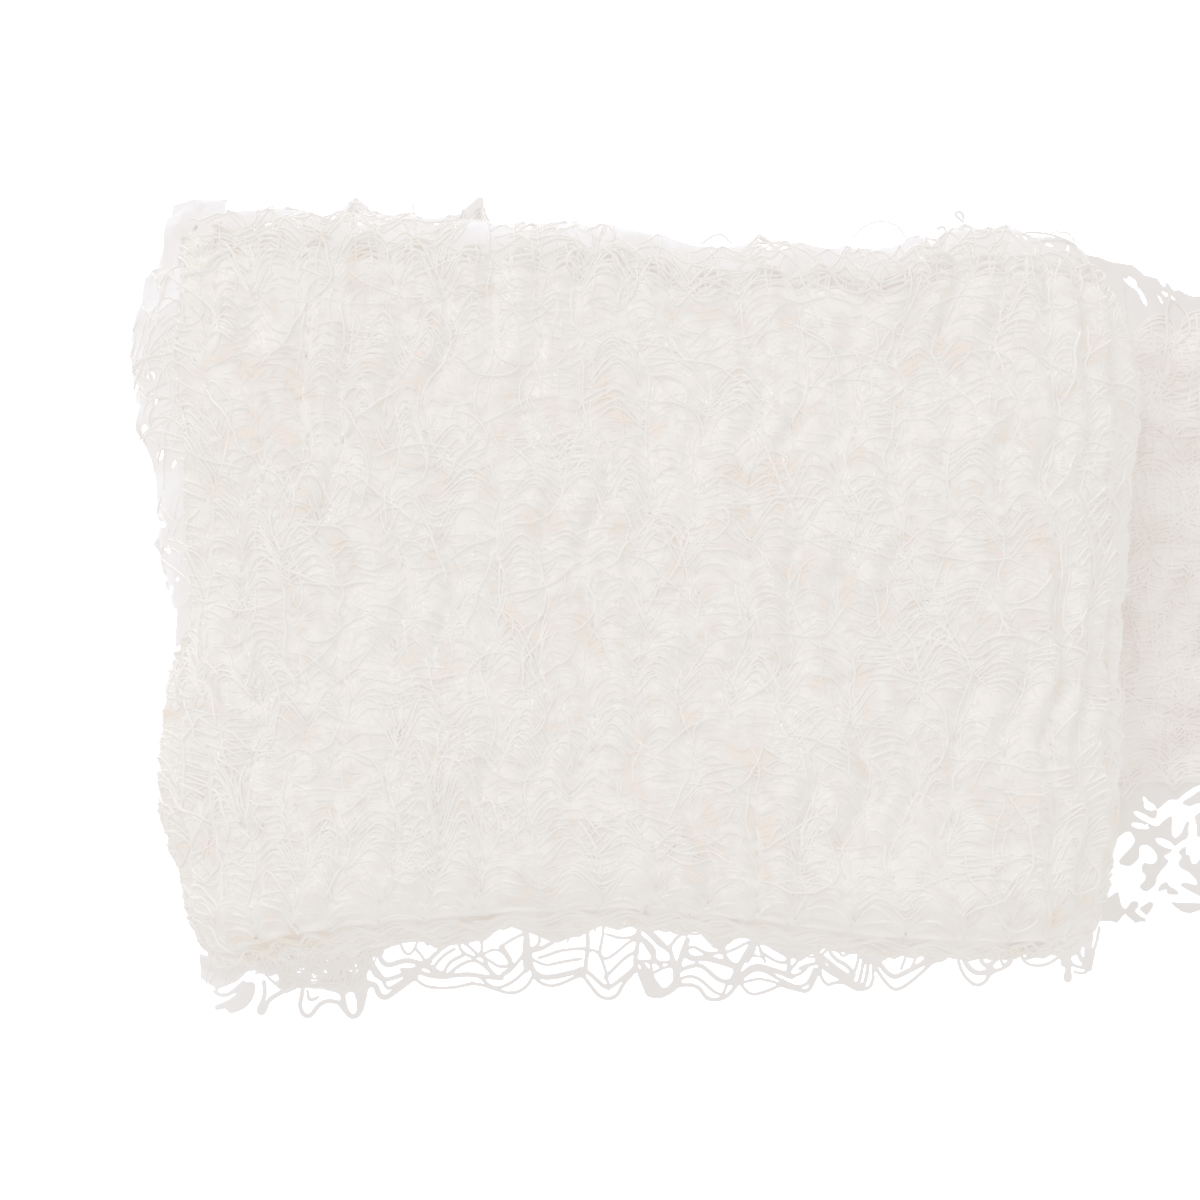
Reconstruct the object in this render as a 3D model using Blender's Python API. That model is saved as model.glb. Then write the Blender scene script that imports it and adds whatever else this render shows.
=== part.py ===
"""A roll of crinkled cotton gauze bandage, pressed flat, with its loose end lying out to the right.

Metres, +Z up. X runs along the bandage and Y along the axis that it is wound round. The origin is at the
middle of the flat spot that the roll rests on.
"""

import math

import bmesh
import bpy
import numpy as np

MM = 0.001
GAP = 0.3 * MM  # between pieces that touch

ROLL_HEIGHT = 24 * MM
RIM_RADIUS = 4 * MM  # the rounding of the roll's two ends
CORNER_SHARE = 0.35  # how much of that rounding the corners get in plan
LEFT_REACH = 16 * MM  # how far the loose left side takes to come down from the flat top
RIGHT_REACH = 12.5 * MM
CROWN = 1.2 * MM  # how much lower the top is towards its left and right
CROWN_REACH = 50 * MM
DEPTH = 70 * MM  # across the roll from end to end, for spacing its sections

CRINKLE_RISE = 0.5 * MM
CRINKLE_DRIFT = 1.6 * MM  # how far a furrow wanders from a straight line
DRIFT_RATES = (1.6, 0.5)  # how fast it wanders across the gauze and along it
STRENGTH = (0.7, 0.3, 0.8)  # a ridge's mean share of the full rise, its swing, and its rate across
RIM_CALM = 0.6  # how much of the ridges' height is lost over the rims
FURROW_PITCH = 4.9 * MM  # past the ends of the list below
EXTRA_FURROWS = 16
FLOOR_BAND = 5 * MM  # the sides are smooth below this height, clear of the loose end

TOP_STEPS = 62
SIDE_STEPS = 26
BOTTOM_STEPS = 10
STATION_STEP = 3.4 * MM

TAIL_THICK = 2.0 * MM
TAIL_THIN = 1.1 * MM  # the band along the front where only one ply is left
TAIL_RISE = 0.3 * MM
TAIL_FREE = 49 * MM  # left of this the loose end is still under the roll's side
TAIL_EASE = 4 * MM  # from there to where its folds have their full height
SINGLE_EASE = 2 * MM  # across the step from all its plies to one
TAIL_GRID = (34, 22)
PLY_THICK = 0.9 * MM
TUCK = 1.3 * MM  # how far the ply reaches in under the roll's front rim
SCALLOP_PITCH = 5.6 * MM
SCALLOP_DEPTH = 0.9 * MM
RIM_STATIONS = (0.0, 0.25, 0.8, 1.8)  # distances in from an end, in mm

# Where the furrows between the crinkles cross the middle of the top, in mm along the gauze.
FURROWS = np.array(
    [
        *(-37.4, -32.9, -28.9, -23.4, -18.9, -13.9, -8.9, -4.4, 0.6),
        *(5.6, 11.1, 15.6, 21.1, 26.1, 31.1, 36.6, 41.6, 45.6),
    ]
)

# Three crossing waves, which together are uneven and never repeat.
WAVES = np.array(
    [
        # radians for each mm along, and across, and share of the seed
        (0.31, 0.11, 1.0),
        (-0.17, 0.37, 2.1),
        (0.09, -0.23, 3.7),
    ]
)
WAVES_PEAK = 2.2

# The roll's left and right sides at places along its axis, in mm.
SIDES = np.array(
    [
        # y, left, right
        (-36, -42.7, 45.4),
        (-30, -44.3, 46.5),
        (-23, -46.5, 47.6),
        (-17, -46.6, 48.3),
        (-9, -46.1, 47.9),
        (-3, -46.3, 48.1),
        (3, -47.7, 48.7),
        (9, -48.1, 49.6),
        (14, -49.9, 50.3),
        (20, -50.8, 50.5),
        (25, -50.8, 49.9),
        (31, -49.2, 47.4),
        (36, -48.4, 45.6),
    ]
)

# The roll's front and back ends at places along its length, in mm.
ENDS = np.array(
    [
        # x, front, back
        (-51, -36.4, 38.2),
        (-42, -38.8, 36.6),
        (-34, -36.8, 35.0),
        (-24, -35.7, 34.6),
        (-12, -35.8, 33.8),
        (-2, -35.4, 33.5),
        (6, -35.8, 31.6),
        (16, -36.2, 32.0),
        (24, -37.0, 31.2),
        (32, -37.5, 33.2),
        (41, -37.4, 33.5),
        (51, -36.0, 33.0),
    ]
)

# Soft hollows and swellings of the top, in mm: place, size across, and rise.
DENTS = np.array(
    [
        # x, y, across, rise
        (4.6, 16.0, 7, -1.1),
        (-4.4, 14.5, 6, -0.8),
        (20.6, 19.0, 7, -0.9),
        (-23.4, -4.0, 8, -0.9),
        (-18.4, -33.0, 7, -1.2),
        (22.6, -25.0, 6, -0.9),
        (12.0, 27.0, 9, -1.0),
        (-17.4, -17.0, 6, 0.7),
        (0.6, -15.0, 6, 0.7),
        (16.6, 0.0, 7, 0.7),
        (15.6, -17.0, 6, 0.6),
        (-39.4, 29.0, 7, 0.6),
        (-20.4, 11.0, 6, 0.6),
        (38.0, 8.0, 9, 0.5),
    ]
)

# The turns of the roll that show at its ends, in mm: how far in from the outline, and how far out
# of the end face.
END_TURNS = np.array(
    [
        # inset, out
        (5.4, -0.9),
        (7.2, 0.2),
        (9.2, -1.2),
    ]
)

# The loose end at places along its length, in mm: front edge, where the single ply starts, and back edge.
TAIL = np.array(
    [
        # x, front, ply, back
        (43.0, -35.4, -27.0, 34.4),
        (47.0, -35.4, -26.0, 34.6),
        (52.0, -33.2, -23.4, 32.1),
        (58.0, -33.4, -21.0, 30.3),
        (66.0, -33.9, -22.5, 30.4),
        (75.0, -33.2, -21.5, 29.6),
        (84.0, -33.8, -22.4, 30.3),
        (92.0, -33.0, -21.8, 29.8),
    ]
)
TAIL_FOLDS = np.array(
    [
        # x, y, across, rise
        (55, 22, 6, 0.9),
        (63, 6, 7, 0.6),
        (60, -12, 6, 0.8),
        (72, 15, 8, 0.5),
        (78, -8, 7, 0.8),
        (86, 20, 6, 0.6),
    ]
)

# The ply that stands out past the roll's front end, in mm: its mean front edge.
PLY = np.array(
    [
        # x, front
        (-41.5, -41.6),
        (-36, -42.6),
        (-28, -42.9),
        (-21, -40.4),
        (-12, -40.8),
        (0, -41.2),
        (12, -40.6),
        (22, -41.0),
        (31, -39.4),
        (40, -40.2),
        (45.2, -38.4),
    ]
)
PLY_GRID = (64, 3)


def at(table, column, place):
    """A column of one of the tables above at a place along its first column, in metres."""
    rows = table * MM
    return np.interp(place, rows[:, 0], rows[:, column])


def waves(a, b, seed):
    """A smooth, uneven value from about -1 to 1 for each place (a, b), which never repeats."""
    total = 0.0
    for rate_a, rate_b, share in WAVES:
        total = total + np.sin((a * rate_a + b * rate_b) / MM + share * seed)
    return total / WAVES_PEAK


def furrow_places():
    """All the furrows' places along the gauze, with even ones past both ends of the list."""
    extra = FURROW_PITCH * np.arange(1, EXTRA_FURROWS + 1)
    middle = FURROWS * MM
    return np.concatenate([middle[0] - extra[::-1], middle, middle[-1] + extra])


def crinkle(along, across, seed):
    """The height of the gauze's ridges, which run across it between the furrows."""
    wander = CRINKLE_DRIFT * waves(across * DRIFT_RATES[0], along * DRIFT_RATES[1], seed)
    places = furrow_places()
    number = np.interp(along + wander, places, np.arange(len(places)))
    mean, swing, rate = STRENGTH
    strength = mean + swing * waves(along, across * rate, seed + 1.3)
    return -CRINKLE_RISE * strength * np.cos(2 * math.pi * number)


def dents(table, x, y):
    """The rise of the soft hollows and swellings at (x, y)."""
    total = 0.0
    for place_x, place_y, across, rise in table * MM:
        reach = ((x - place_x) ** 2 + (y - place_y) ** 2) / across**2
        total = total + rise * np.exp(-reach)
    return total


def section(left, right, inset):
    """Points and outward directions round the roll's section, and the place of each along the gauze.

    That place is x on the top, and runs on down the sides. The outline is drawn in by inset, and by
    less of it at the sides within the rim.
    """
    aside = CORNER_SHARE * min(inset, RIM_RADIUS) + max(inset - RIM_RADIUS, 0)
    left_reach = LEFT_REACH - aside
    right_reach = RIGHT_REACH - aside
    half = ROLL_HEIGHT / 2 - inset
    middle = ROLL_HEIGHT / 2
    low_left = left + LEFT_REACH
    low_right = right - RIGHT_REACH
    quarter = np.linspace(-math.pi / 2, math.pi / 2, SIDE_STEPS, endpoint=False)
    bottom = np.linspace(low_left, low_right, BOTTOM_STEPS, endpoint=False)
    top = np.linspace(low_right, low_left, TOP_STEPS, endpoint=False)
    x = np.concatenate(
        [
            bottom,
            low_right + right_reach * np.cos(quarter),
            top,
            low_left - left_reach * np.cos(quarter),
        ]
    )
    z = np.concatenate(
        [
            np.full(BOTTOM_STEPS, middle - half),
            middle + half * np.sin(quarter),
            np.full(TOP_STEPS, middle + half),
            middle - half * np.sin(quarter),
        ]
    )
    out_x = np.concatenate(
        [
            np.zeros(BOTTOM_STEPS),
            np.cos(quarter),
            np.zeros(TOP_STEPS),
            -np.cos(quarter),
        ]
    )
    out_z = np.concatenate(
        [
            -np.ones(BOTTOM_STEPS),
            np.sin(quarter),
            np.ones(TOP_STEPS),
            -np.sin(quarter),
        ]
    )
    gone = np.cumsum(np.hypot(np.diff(x, prepend=x[0]), np.diff(z, prepend=z[0])))
    top_start = BOTTOM_STEPS + SIDE_STEPS
    return x, z, out_x, out_z, x[top_start] + gone[top_start] - gone


def axis_place(share):
    """The place along the axis, on the table of sides, at a share of the way from front to back."""
    return (SIDES[0, 0] + share * (SIDES[-1, 0] - SIDES[0, 0])) * MM


def roll_ring(share, inset, out):
    """One ring of the roll at a share of the way from front to back, drawn in by inset.

    out pushes it out of the end face that it belongs to.
    """
    place = axis_place(share)
    x, z, out_x, out_z, along = section(at(SIDES, 1, place), at(SIDES, 2, place), inset)
    front = at(ENDS, 1, x)
    back = at(ENDS, 2, x)
    y = front + (back - front) * share + out * (1 if share > 0.5 else -1)
    above = np.clip((z - FLOOR_BAND) / FLOOR_BAND, 0, 1)
    rise = above * crinkle(along, y, 1.0) * (1 - RIM_CALM * inset / RIM_RADIUS)
    upper = np.clip(out_z, 0, 1)
    rise = rise + upper * (dents(DENTS, x, y) - CROWN * (x / CROWN_REACH) ** 4)
    return np.stack([x + out_x * rise, y, z + out_z * rise], axis=1)


def rim_inset(distance):
    """How far the outline is drawn in at a distance from one end of the roll."""
    lean = 1 - min(distance / RIM_RADIUS, 1)
    return RIM_RADIUS * (1 - math.sqrt(1 - lean**2))


def roll_rings():
    """All the rings of the roll, from the middle of its front end to the middle of its back end."""
    inner = np.arange(RIM_RADIUS, DEPTH - RIM_RADIUS + STATION_STEP / 2, STATION_STEP)
    rim = [d * MM for d in RIM_STATIONS]
    stations = rim + list(inner) + [DEPTH - d for d in reversed(rim)]
    rings = []
    for inset, out in END_TURNS[::-1] * MM:
        rings.append(roll_ring(0.0, inset, out))
    for distance in stations:
        inset = rim_inset(min(distance, DEPTH - distance))
        rings.append(roll_ring(distance / DEPTH, inset, 0.0))
    for inset, out in END_TURNS * MM:
        rings.append(roll_ring(1.0, inset, out))
    return rings


def loft(rings):
    """A closed mesh through rings of points, each with as many points as the next."""
    mesh = bmesh.new()
    loops = [[mesh.verts.new(point) for point in ring] for ring in rings]
    for near, far in zip(loops, loops[1:]):
        count = len(near)
        for i in range(count):
            j = (i + 1) % count
            mesh.faces.new((near[i], near[j], far[j], far[i]))
    for loop in (loops[0], loops[-1]):
        edges = [
            mesh.edges.get((loop[i], loop[(i + 1) % len(loop)])) for i in range(len(loop))
        ]
        bmesh.ops.triangle_fill(mesh, use_beauty=True, edges=edges)
    bmesh.ops.recalc_face_normals(mesh, faces=mesh.faces)
    return mesh


def slab(columns, rows, place):
    """A sheet that lies flat on the floor: a grid whose points place() puts, with a flat underside."""
    mesh = bmesh.new()
    bmesh.ops.create_grid(mesh, x_segments=columns, y_segments=rows, size=0.5)
    for vert in mesh.verts:
        vert.co = place(vert.co.x + 0.5, vert.co.y + 0.5)
    under = bmesh.ops.extrude_face_region(mesh, geom=list(mesh.faces))["geom"]
    for part in under:
        if isinstance(part, bmesh.types.BMVert):
            part.co.z = 0.0
    flat = [face for face in mesh.faces if max(v.co.z for v in face.verts) < 1e-9]
    inner = [e for e in mesh.edges if e.is_manifold and set(e.link_faces) <= set(flat)]
    bmesh.ops.dissolve_edges(mesh, edges=inner, use_verts=False)
    bmesh.ops.recalc_face_normals(mesh, faces=mesh.faces)
    return mesh


def underside(x, y):
    """The height of the roll's smooth lower right side over a place on the floor."""
    front = at(ENDS, 1, x)
    right = at(SIDES, 2, axis_place((y - front) / (at(ENDS, 2, x) - front)))
    lean = np.clip((x - (right - RIGHT_REACH)) / RIGHT_REACH, 0, 1)
    return ROLL_HEIGHT / 2 * (1 - math.sqrt(1 - lean**2))


def tail_point(share_x, share_y):
    """A point of the loose end's upper face."""
    x = (TAIL[0, 0] + share_x * (TAIL[-1, 0] - TAIL[0, 0])) * MM
    front = at(TAIL, 1, x)
    back = at(TAIL, 3, x)
    y = front + share_y * (back - front)
    single = np.clip((at(TAIL, 2, x) - y) / SINGLE_EASE + 0.5, 0, 1)
    thick = TAIL_THICK + (TAIL_THIN - TAIL_THICK) * single
    ridge = crinkle(x, y, 4.0) * TAIL_RISE / CRINKLE_RISE
    free = min(max((x - TAIL_FREE) / TAIL_EASE, 0), 1)
    height = thick + free * (ridge + dents(TAIL_FOLDS, x, y))
    under_edge = x < at(SIDES, 2, y) + GAP
    return x, y, min(height, underside(x, y) - GAP) if under_edge else height


def ply_point(share_x, share_y):
    """A point of the upper face of the ply that stands out at the front."""
    x = (PLY[0, 0] + share_x * (PLY[-1, 0] - PLY[0, 0])) * MM
    inner = at(ENDS, 1, x) + TUCK
    scallop = SCALLOP_DEPTH * math.cos(2 * math.pi * x / SCALLOP_PITCH)
    outer = at(PLY, 1, x) + scallop
    y = outer + share_y * (inner - outer)
    return x, y, PLY_THICK


def material(name, colour, roughness):
    """A plain cloth material."""
    made = bpy.data.materials.new(name)
    made.use_nodes = True
    shader = made.node_tree.nodes["Principled BSDF"]
    shader.inputs["Base Color"].default_value = (*colour, 1.0)
    shader.inputs["Roughness"].default_value = roughness
    shader.inputs["Metallic"].default_value = 0.0
    return made


def add_piece(name, mesh, finish, collection, parent):
    """An object made of a finished bmesh, under the given empty."""
    data = bpy.data.meshes.new(name)
    mesh.to_mesh(data)
    mesh.free()
    data.shade_smooth()
    data.materials.append(finish)
    piece = bpy.data.objects.new(name, data)
    piece.parent = parent
    collection.objects.link(piece)
    return piece


def clear_scene():
    for old in list(bpy.data.objects):
        bpy.data.objects.remove(old)


def build():
    clear_scene()
    collection = bpy.data.collections.new("gauze_bandage_roll")
    bpy.context.scene.collection.children.link(collection)
    rest = bpy.data.objects.new("flat_spot", None)
    collection.objects.link(rest)
    cotton = material("roll_cotton", (0.86, 0.84, 0.80), 0.92)
    shaded = material("loose_end_cotton", (0.84, 0.81, 0.77), 0.92)
    open_net = material("outer_ply_cotton", (0.86, 0.85, 0.84), 0.92)
    add_piece("gauze_roll", loft(roll_rings()), cotton, collection, rest)
    add_piece("loose_end", slab(*TAIL_GRID, tail_point), shaded, collection, rest)
    add_piece("outer_ply", slab(*PLY_GRID, ply_point), open_net, collection, rest)


build()
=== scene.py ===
"""The looks of a flat-pressed roll of crinkled cotton gauze bandage, with its loose end and outer ply.

The plies that show are thin tubes, one for each yarn, laid over a soft body by one function for each
surface. The torn and open edges are webs: thin sheets over a field of threads, patches and holes.
Lengths are in millimetres until a mesh is made. On the roll, s is the distance along the gauze from the
middle of the top, positive towards the loose end, and c is the distance across it from the front end.
"""

import math

import bpy
import numpy as np
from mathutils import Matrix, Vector


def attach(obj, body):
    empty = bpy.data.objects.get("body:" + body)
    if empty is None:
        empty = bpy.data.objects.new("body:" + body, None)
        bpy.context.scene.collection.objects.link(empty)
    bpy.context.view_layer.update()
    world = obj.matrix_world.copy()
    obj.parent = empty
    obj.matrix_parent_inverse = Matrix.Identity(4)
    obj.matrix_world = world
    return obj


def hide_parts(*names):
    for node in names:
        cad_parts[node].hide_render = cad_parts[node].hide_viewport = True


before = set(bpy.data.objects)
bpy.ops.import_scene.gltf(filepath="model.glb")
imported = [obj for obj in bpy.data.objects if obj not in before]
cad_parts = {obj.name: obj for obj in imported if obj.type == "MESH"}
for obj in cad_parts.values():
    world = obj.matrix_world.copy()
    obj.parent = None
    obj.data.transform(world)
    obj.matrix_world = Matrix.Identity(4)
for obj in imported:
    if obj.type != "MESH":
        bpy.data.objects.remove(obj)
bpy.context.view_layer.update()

MM = 0.001

# ---------------- the roll's form
# It is that of the solids, but for higher ridges and a front end that is in places a little further back.
ROLL_HEIGHT = 24
MIDDLE = ROLL_HEIGHT / 2
DEPTH = 70  # of the gauze, from its front end to its back end
RIM = 4  # radius of the two rounded ends
CORNER_SHARE = 0.35  # how much of a rim's inset also draws in the sides
LEFT_REACH = 16  # how far each side bulges
RIGHT_REACH = 12.5
LEFT_ARC = (LEFT_REACH + MIDDLE) / 2  # radius that gives a side's length along the gauze
RIGHT_ARC = (RIGHT_REACH + MIDDLE) / 2
CROWN = 1.2  # how far the top falls off towards the sides, at CROWN_REACH from the middle
CROWN_REACH = 50
FLOOR_BAND = 5  # the crinkles start at this height and are full at twice it
RIDGE = 0.85  # height of the crinkles
DRIFT = 1.6  # how far the furrows wander, and how fast across and along the gauze
DRIFT_RATES = (1.6, 0.5)
STRENGTH = (0.7, 0.3, 0.8)  # of the crinkles: mean, swing, and rate across the gauze
RIM_CALM = 0.6  # how much weaker the crinkles are past a rim
CRUMPLE = 0.28  # small lumps in the plies, finer than the crinkles of the solids
FURROW_PITCH = 4.9
EXTRA_FURROWS = 16
WAVES_PEAK = 2.2
TAIL_THICK = 2.0
TAIL_THIN = 1.1
TAIL_FREE = 49  # left of this the loose end is under the roll
TAIL_RISE = 0.6  # of the roll's ridges
BACK_SLACK = 3.2  # how far cloth lies in under the loose plies, at the back end and at the left side
LEFT_SLACK = 3.6
LEFT_SLACK_PLACE = (-88, -43)  # from and to along the gauze
LEFT_SLACK_FRONT = 24
LEFT_SLACK_SOFT = 8
NO_SLACK = 200  # past the end of the gauze
LOWEST = 0.02  # how far above the floor the lowest points stay

LEFT, RIGHT = FRONT, BACK = 1, 2  # the columns of SIDES and of ENDS

FURROWS = np.array([
    -37.4, -32.9, -28.9, -23.4, -18.9, -13.9, -8.9, -4.4, 0.6,
    5.6, 11.1, 15.6, 21.1, 26.1, 31.1, 36.6, 41.6, 45.6,
])
WAVES = np.array([
    # radians for each mm along, and across, and share of the seed
    (0.31, 0.11, 1.0), (-0.17, 0.37, 2.1), (0.09, -0.23, 3.7),
])
SIDES = np.array([
    # y, left, right
    (-36, -42.7, 45.4), (-30, -44.3, 46.5), (-23, -46.5, 47.6), (-17, -46.6, 48.3), (-9, -46.1, 47.9),
    (-3, -46.3, 48.1), (3, -47.7, 48.7), (9, -48.1, 49.6), (14, -49.9, 50.3), (20, -50.8, 50.5),
    (25, -50.8, 49.9), (31, -49.2, 47.4), (36, -48.4, 45.6),
])
ENDS = np.array([
    # x, front, back
    (-51, -36.4, 38.2), (-42, -38.8, 36.6), (-34, -36.8, 35.0), (-24, -35.5, 34.6), (-12, -34.6, 33.8),
    (-2, -34.2, 33.5), (6, -34.7, 31.6), (16, -36.0, 32.0), (24, -37.0, 31.2), (32, -37.5, 33.2),
    (41, -37.4, 33.5), (51, -36.0, 33.0),
])
DENTS = np.array([
    # x, y, across, rise
    (4.6, 16.0, 7, -1.1), (-4.4, 14.5, 6, -0.8), (20.6, 19.0, 7, -0.9), (-23.4, -4.0, 8, -0.9),
    (-18.4, -33.0, 7, -1.2), (22.6, -25.0, 6, -0.9), (12.0, 27.0, 9, -1.0), (-17.4, -17.0, 6, 0.7),
    (0.6, -15.0, 6, 0.7), (16.6, 0.0, 7, 0.7), (15.6, -17.0, 6, 0.6), (-39.4, 29.0, 7, 0.6),
    (-20.4, 11.0, 6, 0.6), (38.0, 8.0, 9, 0.5),
])
TAIL_PLY = np.array([
    # x, y of the line where the loose end is single at its front
    (43, -27), (47, -26), (52, -23.4), (58, -21), (66, -22.5), (75, -21.5), (84, -22.4), (92, -21.8),
])
TAIL_FOLDS = np.array([
    # x, y, across, rise
    (55, 22, 6, 0.9), (63, 6, 7, 0.6), (60, -12, 6, 0.8), (72, 15, 8, 0.5), (78, -8, 7, 0.8),
    (86, 20, 6, 0.6),
])

YARN = 0.15  # how far above the floor a yarn's middle stays
YARN_SIDES = 3
WEAVE = 0.07  # how far the long and the cross yarns go over and under each other
WEB_THICK = 0.12
NOISE_CELLS = 128


def noise(u, v, seed):
    """Smooth random values from -1 to 1 over the plane, with one new value for each whole step."""
    values = np.random.default_rng(seed).uniform(-1, 1, (NOISE_CELLS, NOISE_CELLS))
    i = np.floor(u).astype(int)
    j = np.floor(v).astype(int)
    a = u - i
    b = v - j
    a = a * a * (3 - 2 * a)
    b = b * b * (3 - 2 * b)
    i = i % NOISE_CELLS
    j = j % NOISE_CELLS
    next_i = (i + 1) % NOISE_CELLS
    next_j = (j + 1) % NOISE_CELLS
    low = values[i, j] * (1 - a) + values[next_i, j] * a
    high = values[i, next_j] * (1 - a) + values[next_i, next_j] * a
    return low * (1 - b) + high * b


def xyz(x, y, z):
    """Points from their places in plan and their heights."""
    return np.stack([x, y, z], axis=-1)


def ease(value):
    """0 up to 0 and 1 from 1 on, with a soft passage between them."""
    share = np.clip(value, 0, 1)
    return share * share * (3 - 2 * share)


def at(table, place, column=1):
    """A column of a table at places along its first column."""
    return np.interp(place, table[:, 0], table[:, column])


def dents(table, x, y):
    """The rise of soft hollows and swellings at (x, y)."""
    total = 0.0
    for place_x, place_y, across, rise in table:
        reach = ((x - place_x) ** 2 + (y - place_y) ** 2) / across**2
        total = total + rise * np.exp(-reach)
    return total


# ---------------- the crinkles
def waves(a, b, seed):
    """Crossing waves, as in the solids."""
    total = 0.0
    for rate_a, rate_b, share in WAVES:
        total = total + np.sin(a * rate_a + b * rate_b + share * seed)
    return total / WAVES_PEAK


def furrow_list():
    """The furrows' places with even ones added past both ends."""
    extra = FURROW_PITCH * np.arange(1, EXTRA_FURROWS + 1)
    return np.concatenate([FURROWS[0] - extra[::-1], FURROWS, FURROWS[-1] + extra])


ALL_FURROWS = furrow_list()


def wander(s, c):
    """How far a furrow is off its straight line."""
    return DRIFT * waves((c - DEPTH / 2) * DRIFT_RATES[0], s * DRIFT_RATES[1], 1.0)


def phase(s, c):
    """The crinkles' phase: an odd number of pi at each furrow."""
    number = np.interp(s + wander(s, c), ALL_FURROWS, np.arange(len(ALL_FURROWS)))
    return (2 * number + 1) * math.pi


def ridge(s, c):
    """The height of the crinkles."""
    mean, swing, rate = STRENGTH
    strength = mean + swing * waves(s, (c - DEPTH / 2) * rate, 2.3)
    return RIDGE * strength * np.cos(phase(s, c))


# ---------------- surfaces
def over_rim(near):
    """The way over a rounded end: distance from the end, inset of the outline and lean of the cloth."""
    angle = np.clip((RIM - near) / RIM, 0, math.pi / 2)
    past = np.clip(RIM - near - RIM * math.pi / 2, 0, None)
    distance = np.where(near > RIM, near, RIM - RIM * np.sin(angle))
    return distance, RIM * (1 - np.cos(angle)) + past, np.sin(angle)


def sides_at(share):
    """The roll's left and right sides at a share of the way from front to back."""
    place = SIDES[0, 0] + share * (SIDES[-1, 0] - SIDES[0, 0])
    return at(SIDES, place, LEFT), at(SIDES, place, RIGHT)


def roll_point(s, c, lift):
    """Points on the roll and the outward directions there, at lift off its outer form."""
    from_front = c < DEPTH / 2
    distance, inset, lean = over_rim(np.where(from_front, c, DEPTH - c))
    share = np.where(from_front, distance, DEPTH - distance) / DEPTH
    left, right = sides_at(share)
    aside = CORNER_SHARE * np.minimum(inset, RIM) + np.maximum(inset - RIM, 0)
    low_left = left + LEFT_REACH
    low_right = right - RIGHT_REACH
    half = MIDDLE - inset
    turn_right = np.clip((s - low_right) / RIGHT_ARC, 0, math.pi)
    turn_left = np.clip((low_left - s) / LEFT_ARC, 0, math.pi)
    under_right = np.clip(s - low_right - RIGHT_ARC * math.pi, 0, None)
    under_left = np.clip(low_left - s - LEFT_ARC * math.pi, 0, None)
    x = np.clip(s, low_left, low_right) - under_right + under_left
    x = x + (RIGHT_REACH - aside) * np.sin(turn_right) - (LEFT_REACH - aside) * np.sin(turn_left)
    out_x = np.sin(turn_right) - np.sin(turn_left)
    out_z = np.cos(turn_right + turn_left)
    z = MIDDLE + half * out_z
    front = at(ENDS, x, FRONT)
    y = front + (at(ENDS, x, BACK) - front) * share
    above = np.clip((z - FLOOR_BAND) / FLOOR_BAND, 0, 1)
    rise = above * ridge(s, c) * (1 - RIM_CALM * np.minimum(inset, RIM) / RIM)
    rise = rise + above * CRUMPLE * (noise(s / 1.9, c / 1.5, 71) + 0.6 * noise(s / 0.9, c / 0.8, 72))
    upper = np.clip(out_z, 0, 1)
    rise = rise + upper * (dents(DENTS, x, y) - CROWN * (x / CROWN_REACH) ** 4)
    up = np.sqrt(1 - lean**2)
    out = xyz(out_x * up, np.where(from_front, -lean, lean), out_z * up)
    rising = xyz(out_x * rise, np.zeros_like(x), out_z * rise)
    points = xyz(x, y, z) + rising + out * np.asarray(lift)[..., None]
    return points, out


def slack(s, c, first, reach):
    """How far cloth lies in under the loose plies at the back end and the left side."""
    back = BACK_SLACK * ease((c - first) / reach)
    low, high = LEFT_SLACK_PLACE
    left = LEFT_SLACK
    for inside in (high - s, s - low, c - LEFT_SLACK_FRONT):
        left = left * ease(inside / LEFT_SLACK_SOFT)
    return np.maximum(back, left)


def top_at(x, y):
    """The height of the roll's upper surface over places in plan."""
    front = at(ENDS, x, FRONT)
    back = at(ENDS, x, BACK)
    near = np.clip(np.minimum(y - front, back - y), 0, RIM)
    inset = RIM - np.sqrt(RIM**2 - (RIM - near) ** 2)
    left, right = sides_at(np.clip((y - front) / (back - front), 0, 1))
    lean = np.maximum((left + LEFT_REACH - x) / LEFT_REACH, (x - right + RIGHT_REACH) / RIGHT_REACH)
    height = MIDDLE + (MIDDLE - inset) * np.sqrt(1 - np.clip(lean, 0, 1) ** 2)
    return height - CROWN * (x / CROWN_REACH) ** 4


def tail_top(x, y):
    """The height of the loose end's upper surface over places in plan."""
    single = np.clip((at(TAIL_PLY, x) - y) / 2 + 0.5, 0, 1)
    thick = TAIL_THICK + (TAIL_THIN - TAIL_THICK) * single
    free = np.clip((x - TAIL_FREE) / 4, 0, 1)
    return thick + free * (TAIL_RISE * ridge(x, y + DEPTH / 2) + dents(TAIL_FOLDS, x, y))


# ---------------- yarns
STRIP_EDGE = 0.05  # in the map, of a yarn's strip
MAP_EDGE = 0.01  # in the map, at the two ends of each strip, where the yarn's caps are
CAP_STARTS = (0.001, 0.992)
CAP_LENGTH = 0.007


def unit(vectors):
    """The directions of vectors."""
    return vectors / np.maximum(np.linalg.norm(vectors, axis=-1, keepdims=True), 1e-9)


def upright(points):
    """The direction straight up for each of the points."""
    return np.broadcast_to((0.0, 0.0, 1.0), points.shape)


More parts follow.
